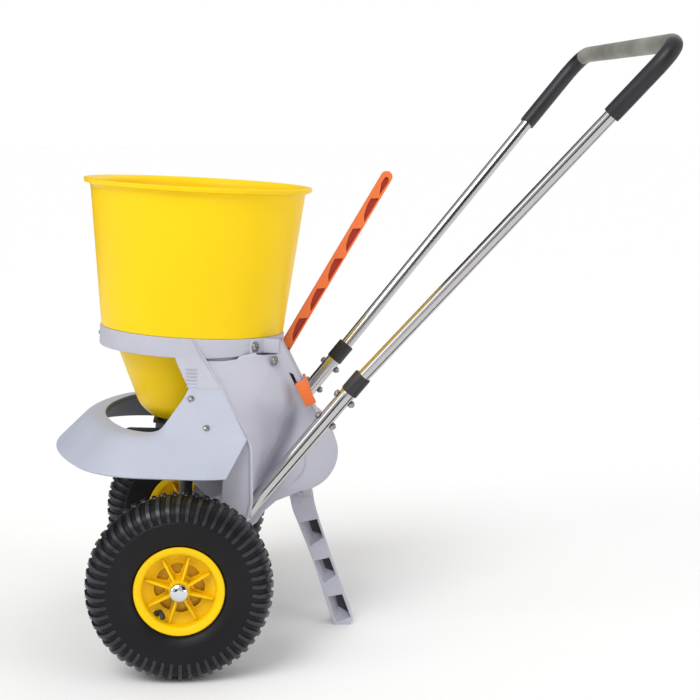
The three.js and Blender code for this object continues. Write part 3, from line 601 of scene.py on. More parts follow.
def carried_on(line, stops, count):
    """More points of a line, evenly spaced on a smooth curve through the stops."""
    stops = [Vector(s) for s in (line[-1], *stops)]
    ends = [stops[0] * 2 - stops[1]] + stops + [stops[-1] * 2 - stops[-2]]
    fine = []
    for p0, p1, p2, p3 in zip(ends, ends[1:], ends[2:], ends[3:]):
        for k in range(24):
            t = k / 24
            fine.append(0.5 * (2 * p1 + (p2 - p0) * t + (2 * p0 - 5 * p1 + 4 * p2 - p3) * t * t
                               + (3 * p1 - p0 - 3 * p2 + p3) * t ** 3))
    fine.append(stops[-1])
    lengths = [0.0]
    for a, b in zip(fine, fine[1:]):
        lengths.append(lengths[-1] + (b - a).length)
    points = []
    at = 0
    for k in range(1, count + 1):
        want = lengths[-1] * k / count
        while at + 2 < len(lengths) and lengths[at + 1] < want:
            at += 1
        span = max(lengths[at + 1] - lengths[at], 1e-9)
        points.append(fine[at].lerp(fine[at + 1], min(1, (want - lengths[at]) / span)))
    return points


def guard_sheet():
    """The guard from its bottom rim over the crease to its upper edge, near side to far side."""
    run = 26
    rim = [(x, y, GUARD_BOTTOM) for x, y in front_curve(-194, 400, 100, 240, -60)]
    rim += carried_on(rim, [(-30, 240.2, 150), (0, 239.5, 150), (30, 236.5, 150),
                            (57, 229, 150.4)], run)
    crease = [(x, y, GUARD_CREASE) for x, y in front_curve(-149, 340, 70, 196, -64)]
    crease += carried_on(crease, [(-40, 196.6, 198), (0, 196.4, 198), (40, 196, 198),
                                  (84, 195, 200)], run)
    edge = [(x, y, GUARD_CREASE + 2) for x, y in front_curve(-123, 300, 60, 168, -60)]
    edge += carried_on(edge, [(-49, 170, 201.5), (-39, 177.5, 206), (-33, 180, 212.5),
                              (-24, 174.5, 225), (-9, 160, 246), (0.5, 150.5, GUARD_SEAM - 0.3)],
                       run - 10)
    edge += [(x, 150, GUARD_SEAM) for x in (*range(5, 41, 5), 44, 47)]
    seam_from = 45
    half = []
    for k, (low, mid, high) in enumerate(zip(rim, crease, edge)):
        low, mid, high = Vector(low), Vector(mid), Vector(high)
        soft = 15 if k < 30 else max(2.5, 15 - (k - 30) * 0.9)
        if k < seam_from:
            # the edge round the opening turns in and down
            turn_in = high + (high - mid).normalized() * 2 + Vector((0, 0, -6))
            half.append(eased([low, mid, high, turn_in], [0, soft, 3.5, 0], 5))
        else:
            half.append(eased([low, mid, (mid + high * 3) / 4, high], [0, soft, 3, 0], 5))
    near = [other_side(line) for line in reversed(half)]
    return sheet(near + half[1:])


def make_guard():
    shell = piece("guard_shell", guard_sheet(), GUARD_GREY, ["spread_guard"],
                  [thicken(2.6), bevel(0.8, 2, 50)], 45, away_from=(-40, 0, 140))
    paint_inside_shade(shell, (-20, 0, 165))


# ---- rear housing
# Rows from the top: height, then [x, y] of the arm's crease, the fold, the facet's rear edge, the
# valley, the cheek behind it and the corner with the rear wall.
HOUSING_ROWS = (
    (330, (8, 137), (94, 110), (104, 103), (112, 98), (118, 94), (127, 90)),
    (303, (19, 137), (104, 108), (113, 101), (122, 95), (130, 92), (142, 89)),
    (291, (28, 139), (116, 104), (122, 99), (132, 92), (139, 90), (149, 88)),
    (266, (44, 144), (107, 116), (132, 102), (144, 90), (152, 89), (163, 88)),
    (240, (60, 160), (97, 130), (140, 106), (151, 82), (163, 85), (177, 86)),
    (220, (73, 176), (106, 122), (134, 104), (149, 68), (164, 81), (188, 85)),
    (205, (82, 185), (115, 112), (126, 97), (145, 58), (160, 79), (180, 81)),
    (178, (92, 185), (117, 115), (123, 95), (137, 54), (154, 78.6), (173, 76.4)),
    (164, (93, 185), (110, 125), (117, 93), (131, 54), (148, 78.6), (173, 76.4)),
    (142, (94, 185), (100, 148), (108, 90), (121, 54), (138, 78.6), (173, 76.4)),
    (128, (95, 185), (97, 168), (101, 90), (113, 56), (130, 78.6), (168, 76.4)),
    (104, (95, 185), (96.5, 168), (99, 95), (105, 58), (118, 78.4), (148, 76.4)),
    (86, (95, 185), (96, 168), (98, 98), (102, 62), (112, 77), (126, 76.4)),
)


def housing_side(side):
    rows = []
    for height, *places in HOUSING_ROWS:
        line = [Vector((x, side * y, height)) for x, y in places]
        rows.append(eased(line, [0, 5, 6, 14, 8, 0], 5))
    return eased_sheet(rows, [0, 2, 6, 9, 9, 9, 8, 10, 10, 8, 8, 6, 0], 3)


def under_ring():
    """Cutter that lowers the housing's side to just below the ring."""
    edge = [(-20, 298.6), (50, 299.2), (66, 301.4), (70, 306), (92, 310.8), (95, 307.6),
            (107, 306.8), (124, 307.2), (126.6, 322), (128, 345), (-20, 345)]
    return plate(edge, -200, 200)


def rear_wall_x(z):
    """Where the sloping rear wall stands at a height."""
    return 132 + (322 - z) * REAR_SLOPE


def bulge_arc():
    """The round drum's outline, from below to where it meets the sloping wall."""
    low, high, steps = -85, 65, 30
    angles = [radians(low + (high - low) * k / steps) for k in range(steps + 1)]
    return [(BULGE[0] + BULGE_RADIUS * cos(a), BULGE[1] + BULGE_RADIUS * sin(a))
            for a in angles]


# the box's bottom from front to rear, and the inner ends of the cheek beside it: [x, height]
BOTTOM_LINE = [(72, 22), (108, 53), (118, 70), (134.6, 86), (155, 95)]
BOTTOM_INNER = [(10, 75), (60, 96), (96, 94), (110, 98), (128, 100)]
# the valley beside the box: [height, x]
VALLEY_EDGE = ((103, 132), (128, 139), (142, 146), (164, 156), (178, 162), (206, 168))


def inner_end(z):
    """Where the cheek's inner end lies for a height on the box's rear outline."""
    lowest, highest = VALLEY_EDGE[0][0], VALLEY_EDGE[-1][0]
    return between(VALLEY_EDGE, z), min(max(z, lowest), highest)


def box_sheet():
    """Cheeks and rear band of the lower box as one sheet, with a rounded edge between them."""
    upper = bulge_arc() + [(rear_wall_x(214), 214)]
    inner = BOTTOM_INNER + [inner_end(z) for _, z in upper]
    rows = []
    for (x, z), (inner_x, inner_z) in zip(BOTTOM_LINE + upper, inner):
        line = [Vector((inner_x, BOX_Y, inner_z)), Vector((x, BOX_Y, z))]
        row = eased(line + other_side(reversed(line)), [0, 7, 7, 0], 5)
        rows.append([bulge_taper(p) for p in row])
    return sheet(rows)


def bulge_taper(p):
    """The drum's sides draw in a little behind an upright crease."""
    past = max(0, p.x - 173)
    return Vector((p.x, p.y * (1 - 0.0036 * past), p.z))


def rear_wall():
    """The sloping wall from the ring down to the drum, between the two sides."""
    rows = []
    for height in (323, 300, 280, 260, 240, 222, 208):
        x = rear_wall_x(height)
        side_y = 90 - (316 - height) * 0.055
        half = [(x - 7, side_y - 3.5, height), (x, side_y - 1.2, height), (x + 1.5, 40, height)]
        rows.append(eased(half + other_side(reversed(half)), [0, 5, 30, 30, 5, 0], 4))
    return sheet(rows)


def make_rear_housing():
    slit = [(rear_wall_x(z) + off, z)
            for z, off in ((281, -11.8), (279, -6.4), (262, -6.4), (262, -11.8))]
    lever_gap = block((100, -11, 236), (220, 11, 335))
    piece("housing_back", rear_wall(), GREY, ["rear_housing"],
          [thicken(3), carve(lever_gap), bevel(0.8, 2, 60)], 45, away_from=(90, 0, 200))
    for name, side in SIDES:
        work = [thicken(3), carve(under_ring())]
        if side < 0:
            work.append(carve(plate(slit, -120, -70)))
        work.append(bevel(0.7, 2, 60))
        piece(f"housing_side_{name}", housing_side(side), GREY, work=work, sharp=45,
              away_from=(90, side * 20, 200))
    piece("housing_box", box_sheet(), GREY, work=[thicken(3.5), bevel(0.8, 2, 60)], sharp=45,
          away_from=(120, 0, 120))
    for name, side in SIDES:
        ear = plate([(166, 84), (190, 84), (190, 108), (166, 104)], side * 21, side * 26)
        piece(f"leg_ear_{name}", ear, GREY, work=[bevel(1.5, 3)])


# ---- wheels
# half of the tyre's outside from the bead to the middle of the tread: [radius, y]
TYRE_SHAPE = (
    (63, 28.6), (66.5, 34), (76, 38.6), (88, 41.4), (97, 42.2), (98.2, 42.2), (99, 41.4),
    (108, 40.2), (115, 36.6), (120.5, 30.6), (124.2, 22), (126.2, 11), (126.6, 0),
)
# a tread bar from the sidewall to the middle of the tread: [radius, y, rise, half width]
LUG_ROWS = (
    (99.5, 41.2, 0.1, 2.2), (103, 41.2, 1.6, 2.8), (108, 40.2, 2.5, 3.2), (115, 36.6, 3.0, 3.5),
    (120.5, 30.6, 3.2, 3.6), (124.2, 22, 3.3, 3.5), (126.2, 11, 3.3, 3.3), (126.6, 5, 3.2, 3.1),
    (126.6, 2, 0.1, 2.8),
)


def tyre_body():
    whole = [(r, -y) for r, y in TYRE_SHAPE] + [(r, y) for r, y in reversed(TYRE_SHAPE[:-1])]
    whole += [(60, 24), (60, -24)]
    radii = [2] + [3] * 3 + [0.6] * 3 + [4] * (len(whole) - 9) + [1, 1]
    return about_y(turned(eased(whole, radii, 2), 150))


def lug(side, turn):
    """One tread bar, from the sidewall over the shoulder to the middle of the tread."""
    path = [Vector(row[:2]) for row in LUG_ROWS]
    rows = []
    for k, (radius, y, rise, half_width) in enumerate(LUG_ROWS):
        along = (path[min(k + 1, len(path) - 1)] - path[max(k - 1, 0)]).normalized()
        # square to the tyre's outline, away from its inside
        out = Vector((abs(along.y), along.x if along.y <= 0 else -along.x))
        low = path[k] - out * 1.2
        high = path[k] + out * rise
        shoulder = low.lerp(high, 0.75)
        skew = -0.0075 * max(0, k - 3)
        row = []
        for place, share in ((low, -1), (shoulder, -0.92), (high, -0.72), (high, 0.72),
                             (shoulder, 0.92), (low, 1)):
            a = turn + share * half_width / radius + skew
            row.append(Vector((place.x * cos(a), side * place.y, place.x * sin(a))))
        rows.append(row)
    return solid(rows)


def tread():
    lugs = []
    for k in range(LUGS):
        lugs.append(lug(-1, 2 * pi * k / LUGS))
        lugs.append(lug(1, 2 * pi * (k + 0.5) / LUGS))
    return joined(*lugs)


def rim_ring():
    half = [(59.4, 24.5, 2), (62.5, 29.4, 1), (62.5, 31.2, 1.2), (60.6, 32.4, 1.2),
            (53.4, 30.6, 2), (50.6, 27.4, 2), (49.2, 12, 3)]
    whole = half + [(r, -y, e) for r, y, e in reversed(half)]
    return about_y(turned(profile(whole), 128))


def window(turn, y0, y1):
    """Cutter for one opening between two spokes."""
    half = pi / SPOKES
    corners = []
    for radius, share in ((20, -0.42), (34.5, -0.72), (35.5, 0), (34.5, 0.72), (20, 0.42)):
        a = turn + share * half
        corners.append((radius * cos(a), radius * sin(a)))
    return plate(rounded(corners, 2.5), y0, y1)


def web(side):
    """The dished disc between the hub and the rim, on one side of the wheel."""
    corners = [(13, 7, 0), (36.5, 7, 3), (50, 12, 0), (50, 15, 0), (36.5, 9.6, 3), (13, 9.6, 0)]
    return about_y(turned(profile([(r, side * y, e) for r, y, e in corners]), 96))


def spoke(side, turn):
    outline = [(12, 8), (12, 28.4), (19, 28), (48.6, 21), (49.4, 8)]
    rib = plate(outline, -1.45, 1.45)
    rib.transform(Matrix.Rotation(-turn, 4, "Y") @ Matrix.Diagonal((1, side, 1, 1))
                  @ Matrix.Rotation(pi / 2, 4, "X"))
    return rib


def make_rim(name, side, where):
    turns = [SPOKE_PHASE + 2 * pi * k / SPOKES for k in range(SPOKES)]
    gaps = [a + pi / SPOKES for a in turns]
    piece(f"rim_ring_{name}", rim_ring(), RIM_YELLOW, [f"rim_{name}"], **where)
    # the floor behind the windows carries the painted shade of the rim's inside
    floor = turned([(10.4, -1.2), (50, -1.2), (50, 1.2), (10.4, 1.2)], 96)
    piece(f"rim_floor_{name}", about_y(floor), RIM_PAINTED_SHADE, **where)
    hub = profile([(10.4, -29, 0), (14.2, -29, 1), (15, -5, 1), (15, 5, 1), (14.2, 29, 1),
                   (10.4, 29, 0)])
    piece(f"rim_hub_{name}", about_y(turned(hub, 64)), RIM_YELLOW, **where)
    for face, label in ((1, "outer"), (-1, "inner")):
        cutter = joined(*(window(a, -20, 20) for a in gaps))
        piece(f"rim_web_{name}_{label}", web(side * face), RIM_YELLOW,
              work=[carve(cutter), bevel(0.5, 2)], **where)
        ribs = joined(*(spoke(side * face, a) for a in turns))
        piece(f"rim_spokes_{name}_{label}", ribs, RIM_YELLOW, work=[bevel(0.6, 2)], **where)


def make_valve(name, side, where):
    stem = [(-33, side * 12, -40), (-28, side * 14, -35), (-25, side * 17, -32.5),
            (-23.5, side * 21, -33), (-22, side * 24, -35.5)]
    line = eased(stem, [0, 3, 3, 3, 0], 4)
    radii = [4.6, 4.6, 4.4] + [2.9] * (len(line) - 3)
    cap = swept([(-22.6, side * 22.6, -34.4), (-21, side * 26, -38), (-20.2, side * 27.6, -39.6),
                 (-20, side * 28, -40)], [3.5, 3.7, 3.5, 2.6], 20)
    piece(f"valve_stem_{name}", swept(line, radii, 20), BLACK, [f"valve_{name}"],
          [bevel(0.5, 2)], **where)
    piece(f"valve_cap_{name}", cap, BLACK, work=[bevel(0.4, 2)], **where)


def make_wheels():
    for name, side in SIDES:
        where = {
            "body": "drive_axle" if side < 0 else "free_wheel",
            "space": MACHINE @ Matrix.Translation((0, side * WHEEL_Y, 0)),
        }
        piece(f"tyre_body_{name}", tyre_body(), RUBBER, [f"tyre_{name}"], sharp=40, **where)
        # the tread's lighter rubber carries a painted highlight
        piece(f"tyre_tread_{name}", tread(), TREAD_PAINTED_HIGHLIGHT, sharp=50, **where)
        make_rim(name, side, where)
        make_valve(name, side, where)
        dome = profile([(0, 7.4, 0), (6, 7, 3), (9.6, 5.6, 3), (12.6, 3.4, 1.2), (12.8, 0, 0.4),
                        (0, 0, 0)], 4)
        cap = facing_out(turned(dome, 64, closed=False), side, (0, side * 272.4, 0))
        piece(f"hub_cap_{name}", cap, CHROME, [f"axle_cap_{name}"], body="drive_axle")


def make_axle():
    shaft = about_y(cylinder(0, 10, -271.6, 271.6))
    piece("axle_bar", shaft, ZINC, ["axle"], body="drive_axle")
    bush = about_y(cylinder(10.3, 13.7, -31, 31, 0.6), WHEEL_Y)
    piece("far_wheel_bush", bush, BLACK, ["wheel_bush_far"], body="free_wheel")
    for name, side in SIDES:
        ends = sorted((side * (LEG_Y - 11), side * (LEG_Y + 13)))
        bearing = about_y(cylinder(10.3, 14, *ends, 0.6))
        piece(f"axle_bearing_{name}", bearing, BLACK, [f"axle_bush_{name}"])


# ---- spinner and outlet
def make_spinner():
    disc = profile([(5.3, 146, 0), (14, 146, 1), (14, 151.6, 2), (60, 151.6, 20),
                    (104.6, 152.4, 0.8), (104.6, 155.2, 0.8), (60, 154.6, 20), (16, 154.6, 3),
                    (14, 176, 1.2), (5.3, 176, 0)])
    piece("spinner_disc", turned(disc, 128), BLACK, ["spinner"], body="spinner")
    outline = [(11, 153), (11, 173), (24, 174.5), (88, 173.5), (102, 167), (102, 153)]
    foot = [(13, 154), (13, 156.4), (101, 156.4), (101, 154)]
    vanes = []
    for k in range(VANES):
        vane = joined(plate(outline, -1.3, 1.3), plate(foot, -2.8, 2.8))
        vane.transform(Matrix.Rotation(2 * pi * k / VANES, 4, "Z"))
        vanes.append(vane)
    piece("spinner_vanes", joined(*vanes), BLACK, work=[bevel(0.5, 2)], body="spinner")
    shaft = cylinder(0, 5, 28, 216, 1, 40, 3)
    piece("spinner_axle", shaft, ZINC, ["spinner_shaft"], body="spinner")
    piece("shaft_cover", cylinder(6, 10, 62.4, 144, 0.6, 40), BLACK, ["shaft_sleeve"])


def make_agitator():
    hub = cylinder(5.2, 9, 201, 213, 1, 40)
    piece("agitator_hub", hub, ZINC, ["agitator"], body="spinner")
    arms = eased([(0, -34, 212), (0, -30, 207), (0, 30, 207), (0, 34, 212)], [0, 5, 5, 0], 5)
    piece("agitator_arms", swept(arms, 2.3, 16), ZINC, work=[bevel(0.6, 2)], body="spinner")


def make_outlet():
    disc = cylinder(8.4, 46, 190.5, 194.7, 0.8, 96)
    port = block((-36, -18, 150), (-14, 18, 260))
    piece("outlet_disc", disc, BLACK, ["outlet_plate"], [carve(port)])
    # rails that carry the shutter under the outlet
    for name, side in SIDES:
        y = sorted((side * 28.6, side * 36))
        lip = sorted((side * 24, side * 36))
        rail = joined(block((-28, y[0], 183.5), (28, y[1], 191.5)),
                      block((-28, lip[0], 183.5), (28, lip[1], 186.3)))
        piece(f"outlet_rail_{name}", rail, BLACK, work=[bevel(0.6, 2)])


# ---- lever and its stop
LEVER_AT = MACHINE @ Matrix.Translation((LEVER_PIVOT[0], 0, LEVER_PIVOT[1]))
POCKET_TOPS = (7, 40, 92, 144, 196, 248, 300)


def lever_bar():
    """The lever from its pivot up, along +z, with a rounded tip."""
    half = 8.4
    outline = [(-half, -6), (-half, LEVER_LENGTH - 2)]
    for k in range(1, 12):
        a = pi - pi * k / 12
        outline.append((half * cos(a), LEVER_LENGTH - 2 + (half + 1) * sin(a)))
    outline += [(half, LEVER_LENGTH - 2), (half, -6)]
    return plate(outline, -5, 5)


def lever_pocket(top, y0, y1):
    """One slanting pocket in the lever's side, straight across its top and drawn to a point."""
    drop = LEVER_LENGTH + 6 - top
    corners = [(6.2, drop), (-4.2, drop - 7), (-3.4, drop - 20), (-0.2, drop - 33),
               (5.6, drop - 42)]
    if top == POCKET_TOPS[0]:
        # the one at the tip is short and follows the rounded end
        corners = [(6.0, drop - 5), (3, drop), (-2, drop - 1), (-2.6, drop - 12), (4.6, drop - 30)]
    return plate(rounded(corners, 1.4), y0, y1)


def make_lever():
    place = LEVER_AT @ Matrix.Rotation(LEVER_ANGLE, 4, "Y")
    cutters = [carve(lever_pocket(top, *y)) for top in POCKET_TOPS for y in ((-9, -1.2), (1.2, 9))]
    piece("lever_bar", lever_bar(), ORANGE, ["lever"], cutters + [bevel(0.7, 2, 40)], 40,
          body="lever", space=place)
    # thin floors in the pockets carry the painted shade
    floors = [lever_pocket(top, *y) for top in POCKET_TOPS for y in ((-2.1, -1.0), (1.0, 2.1))]
    piece("lever_pocket_shade_floors", joined(*floors), POCKET_PAINTED_SHADE, body="lever", space=place)
    hub = cylinder(0, 12, -6, 6)
    arm = plate([(-6, 0), (6, 0), (6, -50), (-6, -50)], -4.9, 4.9)
    piece("lever_crank", joined(about_y(hub), arm), ORANGE, work=[bevel(0.8, 2)], body="lever",
          space=LEVER_AT @ Matrix.Rotation(CRANK_ANGLE, 4, "Y"))


def sloped(z, off):
    """[x, height] of a point at a distance square off the rear wall's line."""
    length = hypot(1, REAR_SLOPE)
    return rear_wall_x(z) + off / length, z + off * REAR_SLOPE / length


def wall_bar(top, low, inner, outer):
    """Outline of a bar along the rear wall, between two heights and two distances off it."""
    return [sloped(top, inner), sloped(top, outer), sloped(low, outer), sloped(low, inner)]


def make_stop():
    knob = plate(rounded(wall_bar(270.2, 237.8, -9.4, 7.0), 1.6), -104, -92.6)
    piece("stop_knob", knob, ORANGE, ["stop_slider"], [bevel(1.0, 3, 50)], body="stop")
    bar = plate(wall_bar(265, 254, 3.8, 8), -101, -12)
    foot = plate(wall_bar(265, 254, 1, 7), -101, -93.5)
    piece("stop_bar", joined(bar, foot), ORANGE, work=[bevel(0.8, 2)], body="stop")


# ---- support leg
LEG_HALF_WIDTH = 20.0
LEG_OUTLINE = (
    (160.5, 211), (161.3, 203), (164.3, 184), (174.3, 158.6), (195.9, 102.2), (215, 40), (224, 10),
    (229, 0), (252, 0), (257.5, 10.4), (244.3, 48), (224, 106.4), (204.6, 167.6), (198, 194.8),
    (196, 211),
)
LEG_EASE = (0, 8, 14, 20, 20, 14, 5, 1.5, 1.5, 5, 20, 20, 20, 8, 1, 1, 0)
LEG_POCKETS = (
    ((175.5, 161), (202, 166.4), (211.4, 137.6), (191, 124)),
    ((197.8, 101.4), (220.8, 106), (230.6, 78.6), (212.4, 65.6)),
    ((218.8, 44.6), (240.4, 48), (253.4, 11.4), (231.4, 4)),
)


def leg_pocket(corners, side):
    """Cutter that slopes in from the front and from below to its deep upper rear corner."""
    front_top, rear_top, rear_low, front_low = [Vector(c) for c in corners]
    deep = (front_top.lerp(rear_top, 0.52), rear_top.lerp(front_top, 0.04),
            rear_low.lerp(rear_top, 0.05), front_low.lerp(rear_top, 0.46))
    rings = []
    for y, share in ((21, 0), (19.6, 0), (1.5, 1)):
        spots = (Vector(corner).lerp(end, share) for corner, end in zip(corners, deep))
        rings.append([(spot.x, side * y, spot.y) for spot in spots])
    return solid(rings)


def paint_pocket_shade(leg):
    """The pockets' floors, and their walls that look forward, are painted with shade: a near-black
    grey stands in for the shadow in these hollows.
    """
    leg.data.materials.append(GREY_PAINTED_SHADE)
    for face in leg.data.polygons:
        # metres from the leg's middle plane
        depth = abs(face.center.y)
        inside = 0.001 < depth < 0.0125
        shaded = inside and (face.normal.x < -0.4 or depth < 0.003)
        face.material_index = 1 if shaded else 0


def make_leg():
    outline = rounded(LEG_OUTLINE, LEG_EASE, 4)
    cutters = [carve(leg_pocket(c, side)) for c in LEG_POCKETS for _, side in SIDES]
    leg = piece("leg_body", plate(outline, -LEG_HALF_WIDTH, LEG_HALF_WIDTH), GREY, ["support_leg"],
                cutters + [bevel(1.0, 3, 40)], 40, space=LEVEL)
    paint_pocket_shade(leg)
    for name, side in SIDES:
        dot = turned([(0, 0), (3.4, 0), (3.2, 0.5), (0, 0.6)], 32, closed=False)
        facing_out(dot, side, (178.3, side * LEG_HALF_WIDTH, 192))
        piece(f"leg_mark_{name}", dot, GUARD_GREY, slot="frame_grey", space=LEVEL)
    pin = about_y(cylinder(0, 4, -30, 30, 1, 32, 3))
    pin.transform(Matrix.Translation((178, 0, 92)))
    piece("leg_pivot_pin", pin, ZINC, ["leg_pin"])


# ---- handle
COLLAR_AT = (250.3, 159.3, 395.8)
TUBE_LOW = (55.5, 145.7, 165.0)
HANDLE_CORNER = (665.0, 304.5, 868.5)
HANDLE_BEND = 52.0
TUBE_RADIUS = 11.3
UPPER_RADIUS = 9.3
GRIP_RADIUS = 12.4
COLLAR_RADIUS = 12.9
GRIP_START = {-1: 0.797, 1: 0.763}
GRIP_END = 0.678
SLEEVE_START = 0.692


def sided(place, side):
    return Vector((place[0], side * place[1], place[2]))


def bend_line(side, first=0.0, last=1.0, steps=20):
    """Points round one bend of the handle, between two shares of its length."""
    corner = sided(HANDLE_CORNER, side)
    start = corner + (sided(COLLAR_AT, side) - corner).normalized() * HANDLE_BEND
    end = corner + Vector((0, -side * HANDLE_BEND, 0))
    shares = (first + (last - first) * k / steps for k in range(steps + 1))
    return [start.lerp(corner, t).lerp(corner.lerp(end, t), t) for t in shares]


def side_line(side, share, steps=6):
    """Points up one side of the handle, from a share of the way up to the bend."""
    low = sided(COLLAR_AT, side).lerp(sided(HANDLE_CORNER, side), share)
    start = bend_line(side)[0]
    return [low.lerp(start, k / steps) for k in range(steps)]


def sleeve(line):
    """A soft sleeve along a line, slightly drawn in at its two ends."""
    line = [line[0], line[0].lerp(line[1], 0.05)] + line[1:-1] + [
        line[-1].lerp(line[-2], 0.1), line[-1]]
    ends = [0.92, 0.985]
    shares = ends + [1.0] * (len(line) - 4) + ends[::-1]
    return swept(line, [GRIP_RADIUS * share for share in shares], 48)


def bolt(start, end, shank, head, nut):
    """A domed head at start and a hexagon nut with the thread's end at end."""
    a, b = Vector(start), Vector(end)
    along = (b - a).normalized()
    dome = turned(profile([(0, 4.2, 0), (head * 0.55, 3.9, 2), (head, 2.2, 1.6), (head, 0, 0.4),
                           (0, 0, 0)], 4), 40, closed=False)
    aimed(dome, a + along * 4, -along)
    hexagon = turned([(0, 0), (nut, 0), (nut, 4.6), (0, 4.6)], 6, closed=False)
    aimed(hexagon, b - along * 4.6, along, 0.3)
    tip = aimed(cylinder(0, shank, 0, 3, 0.8, 24), b - along * 0.5, along)
    rod = swept([a + along * 2, b - along], shank, 24)
    return joined(dome, hexagon, tip, rod)


def bolt_ends(side):
    """Ends of the two bolts through the top of a lower tube, square to it."""
    top = sided(COLLAR_AT, side)
    along = (top - sided(TUBE_LOW, side)).normalized()
    across = Vector((along.z, 0, -along.x)).normalized()
    ends = []
    for down in (27, 68):
        middle = top - along * down
        ends.append((middle - across * 16, middle + across * 16))
    return ends


def make_bar_sleeve():
    halves = [bend_line(side, SLEEVE_START, 1, 8) for side in (-1, 1)]
    middle = [halves[0][-1].lerp(halves[1][-1], k / 12) for k in range(1, 12)]
    piece("cross_bar_sleeve", sleeve(halves[0] + middle + halves[1][::-1]), SLEEVE, ["bar_sleeve"],
          space=LEVEL)


def make_handle():
    halves = [side_line(side, 0.004) + bend_line(side) for side in (-1, 1)]
    line = halves[0] + halves[1][::-1]
    piece("handle_tube", swept(line, UPPER_RADIUS, 48), STAINLESS, ["upper_handle"], space=LEVEL)
    for name, side in SIDES:
        top = sided(COLLAR_AT, side)
        low = sided(TUBE_LOW, side)
        up = (top - low).normalized()
        points = [low.lerp(top, k / 8) for k in range(9)]
        piece(f"lower_tube_{name}_shell", swept(points, TUBE_RADIUS, 48), STAINLESS,
              [f"lower_tube_{name}"], [bevel(0.8, 2)], space=LEVEL)
        ends = (16.4, 15.2, 0, -15.2, -16.4)
        collar = bead([top - up * end for end in ends], COLLAR_RADIUS, COLLAR_RADIUS - 1.2, 48)
        piece(f"collar_{name}_body", collar, BLACK, [f"collar_{name}"], [bevel(0.6, 2)],
              space=LEVEL)
        grip = side_line(side, GRIP_START[side], 10) + bend_line(side, 0, GRIP_END)
        piece(f"grip_{name}_sleeve", sleeve(grip), GRIP, [f"grip_{name}"], space=LEVEL)
        for k, (start, end) in enumerate(bolt_ends(side)):
            piece(f"handle_bolt_{name}_{k + 1}", bolt(start, end, 3, 5.3, 5.6), ZINC,
                  [f"tube_bolt_{name}_{k + 1}"], [bevel(0.3, 2)], space=LEVEL)


# ---- small fasteners
def pan_head(radius, height):
    """A domed screw head about +z."""
    dome = profile([(0, height, 0), (radius * 0.6, height * 0.92, radius * 0.4),
                    (radius, height * 0.45, radius * 0.3), (radius, 0, 0.2), (0, 0, 0)], 4)
    return turned(dome, 40, closed=False)


def cross_recess(radius, height):
    """Cutters for the cross in a screw's head."""
    arms = ((radius * 0.62, 0.55), (0.55, radius * 0.62))
    return [block((-x, -y, height * 0.3), (x, y, height + 2)) for x, y in arms]


def headed(name, origin, direction, radius, height, nodes=(), roll=0.4):
    """A screw's head with a cross recess, standing on origin."""
    cutters = [carve(aimed(arm, origin, direction, roll)) for arm in cross_recess(radius, height)]
    head = aimed(pan_head(radius, height), origin, direction, roll)
    piece(name, head, ZINC, nodes, cutters, 45)


def make_fasteners():
    guard_screws = ((3.9, 159.8, 248.6), (27.3, 186.0, 212.3))
    guard_lean = Vector((0, 0.82, 0.57))
    # the first is on the ring's pad and the second on the housing's side
    ring_bolts = ((92, 106, 318.7, RING_RADIUS + 3), (117, 99, 299, hypot(117, 99) + 4))
    for name, side in SIDES:
        for k, (x, y, z) in enumerate(guard_screws):
            normal = Vector((0, side * guard_lean.y, guard_lean.z))
            headed(f"guard_screw_{name}_{k + 1}_head", Vector((x, side * y, z)) + normal * 0.4,
                   normal, 4.5, 2.6, [f"guard_screw_{name}_{k + 1}"], 0.3 + k)
        for k, (x, y, z, radius) in enumerate(ring_bolts):
            out = Vector((x, side * y, 0)).normalized()
            spot = Vector((out.x * radius, out.y * radius, z))
            washer = aimed(turned([(0, 0), (7.8, 0), (7.8, 1.2), (0, 1.2)], 40, closed=False),
                           spot, out)
            piece(f"ring_washer_{name}_{k + 1}", washer, ZINC, work=[bevel(0.3, 2)])
            headed(f"ring_bolt_{name}_{k + 1}_head", spot + out * 1.0, out, 6.3, 4.2,
                   [f"ring_bolt_{name}_{k + 1}"], 0.7)
    front = Vector((-RING_RADIUS - 0.2, 0, 315.6))
    headed("ring_front_screw", front, (-1, 0, 0), 3.0, 2.2)


CARRIED = {
    "drive_pin": ZINC, "gearbox_housing": BLACK, "gearbox_cover": BLACK, "gearbox_bracket": ZINC,
    "shaft_bush": BRASS, "crown_gear": BRASS, "pinion": BRASS, "outlet_bush": BRASS,
    "shutter_plate": BLACK, "crank_pin": ZINC, "lever_pivot_rod": ZINC,
    "tube_foot_bolt_near": ZINC, "tube_foot_bolt_far": ZINC,
}


def carry_over():
    """CAD nodes that are right as they are and only need their finish."""
    for name, material in CARRIED.items():
        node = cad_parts[name]
        node.data.materials.clear()
        node.data.materials.append(material)


# ---- stage, light and camera
WORLD_LIGHT = 0.62
MIDDLE = (0, 0, 0.5)
# name, direction it shines from, strength, breadth in degrees
SUNS = (
    ("key", (-0.42, -0.72, 0.9), 1.45, 32),
    ("fill", (0.75, -0.6, 0.35), 0.55, 40),
    ("back", (0.4, 0.8, 0.6), 0.3, 40),
)
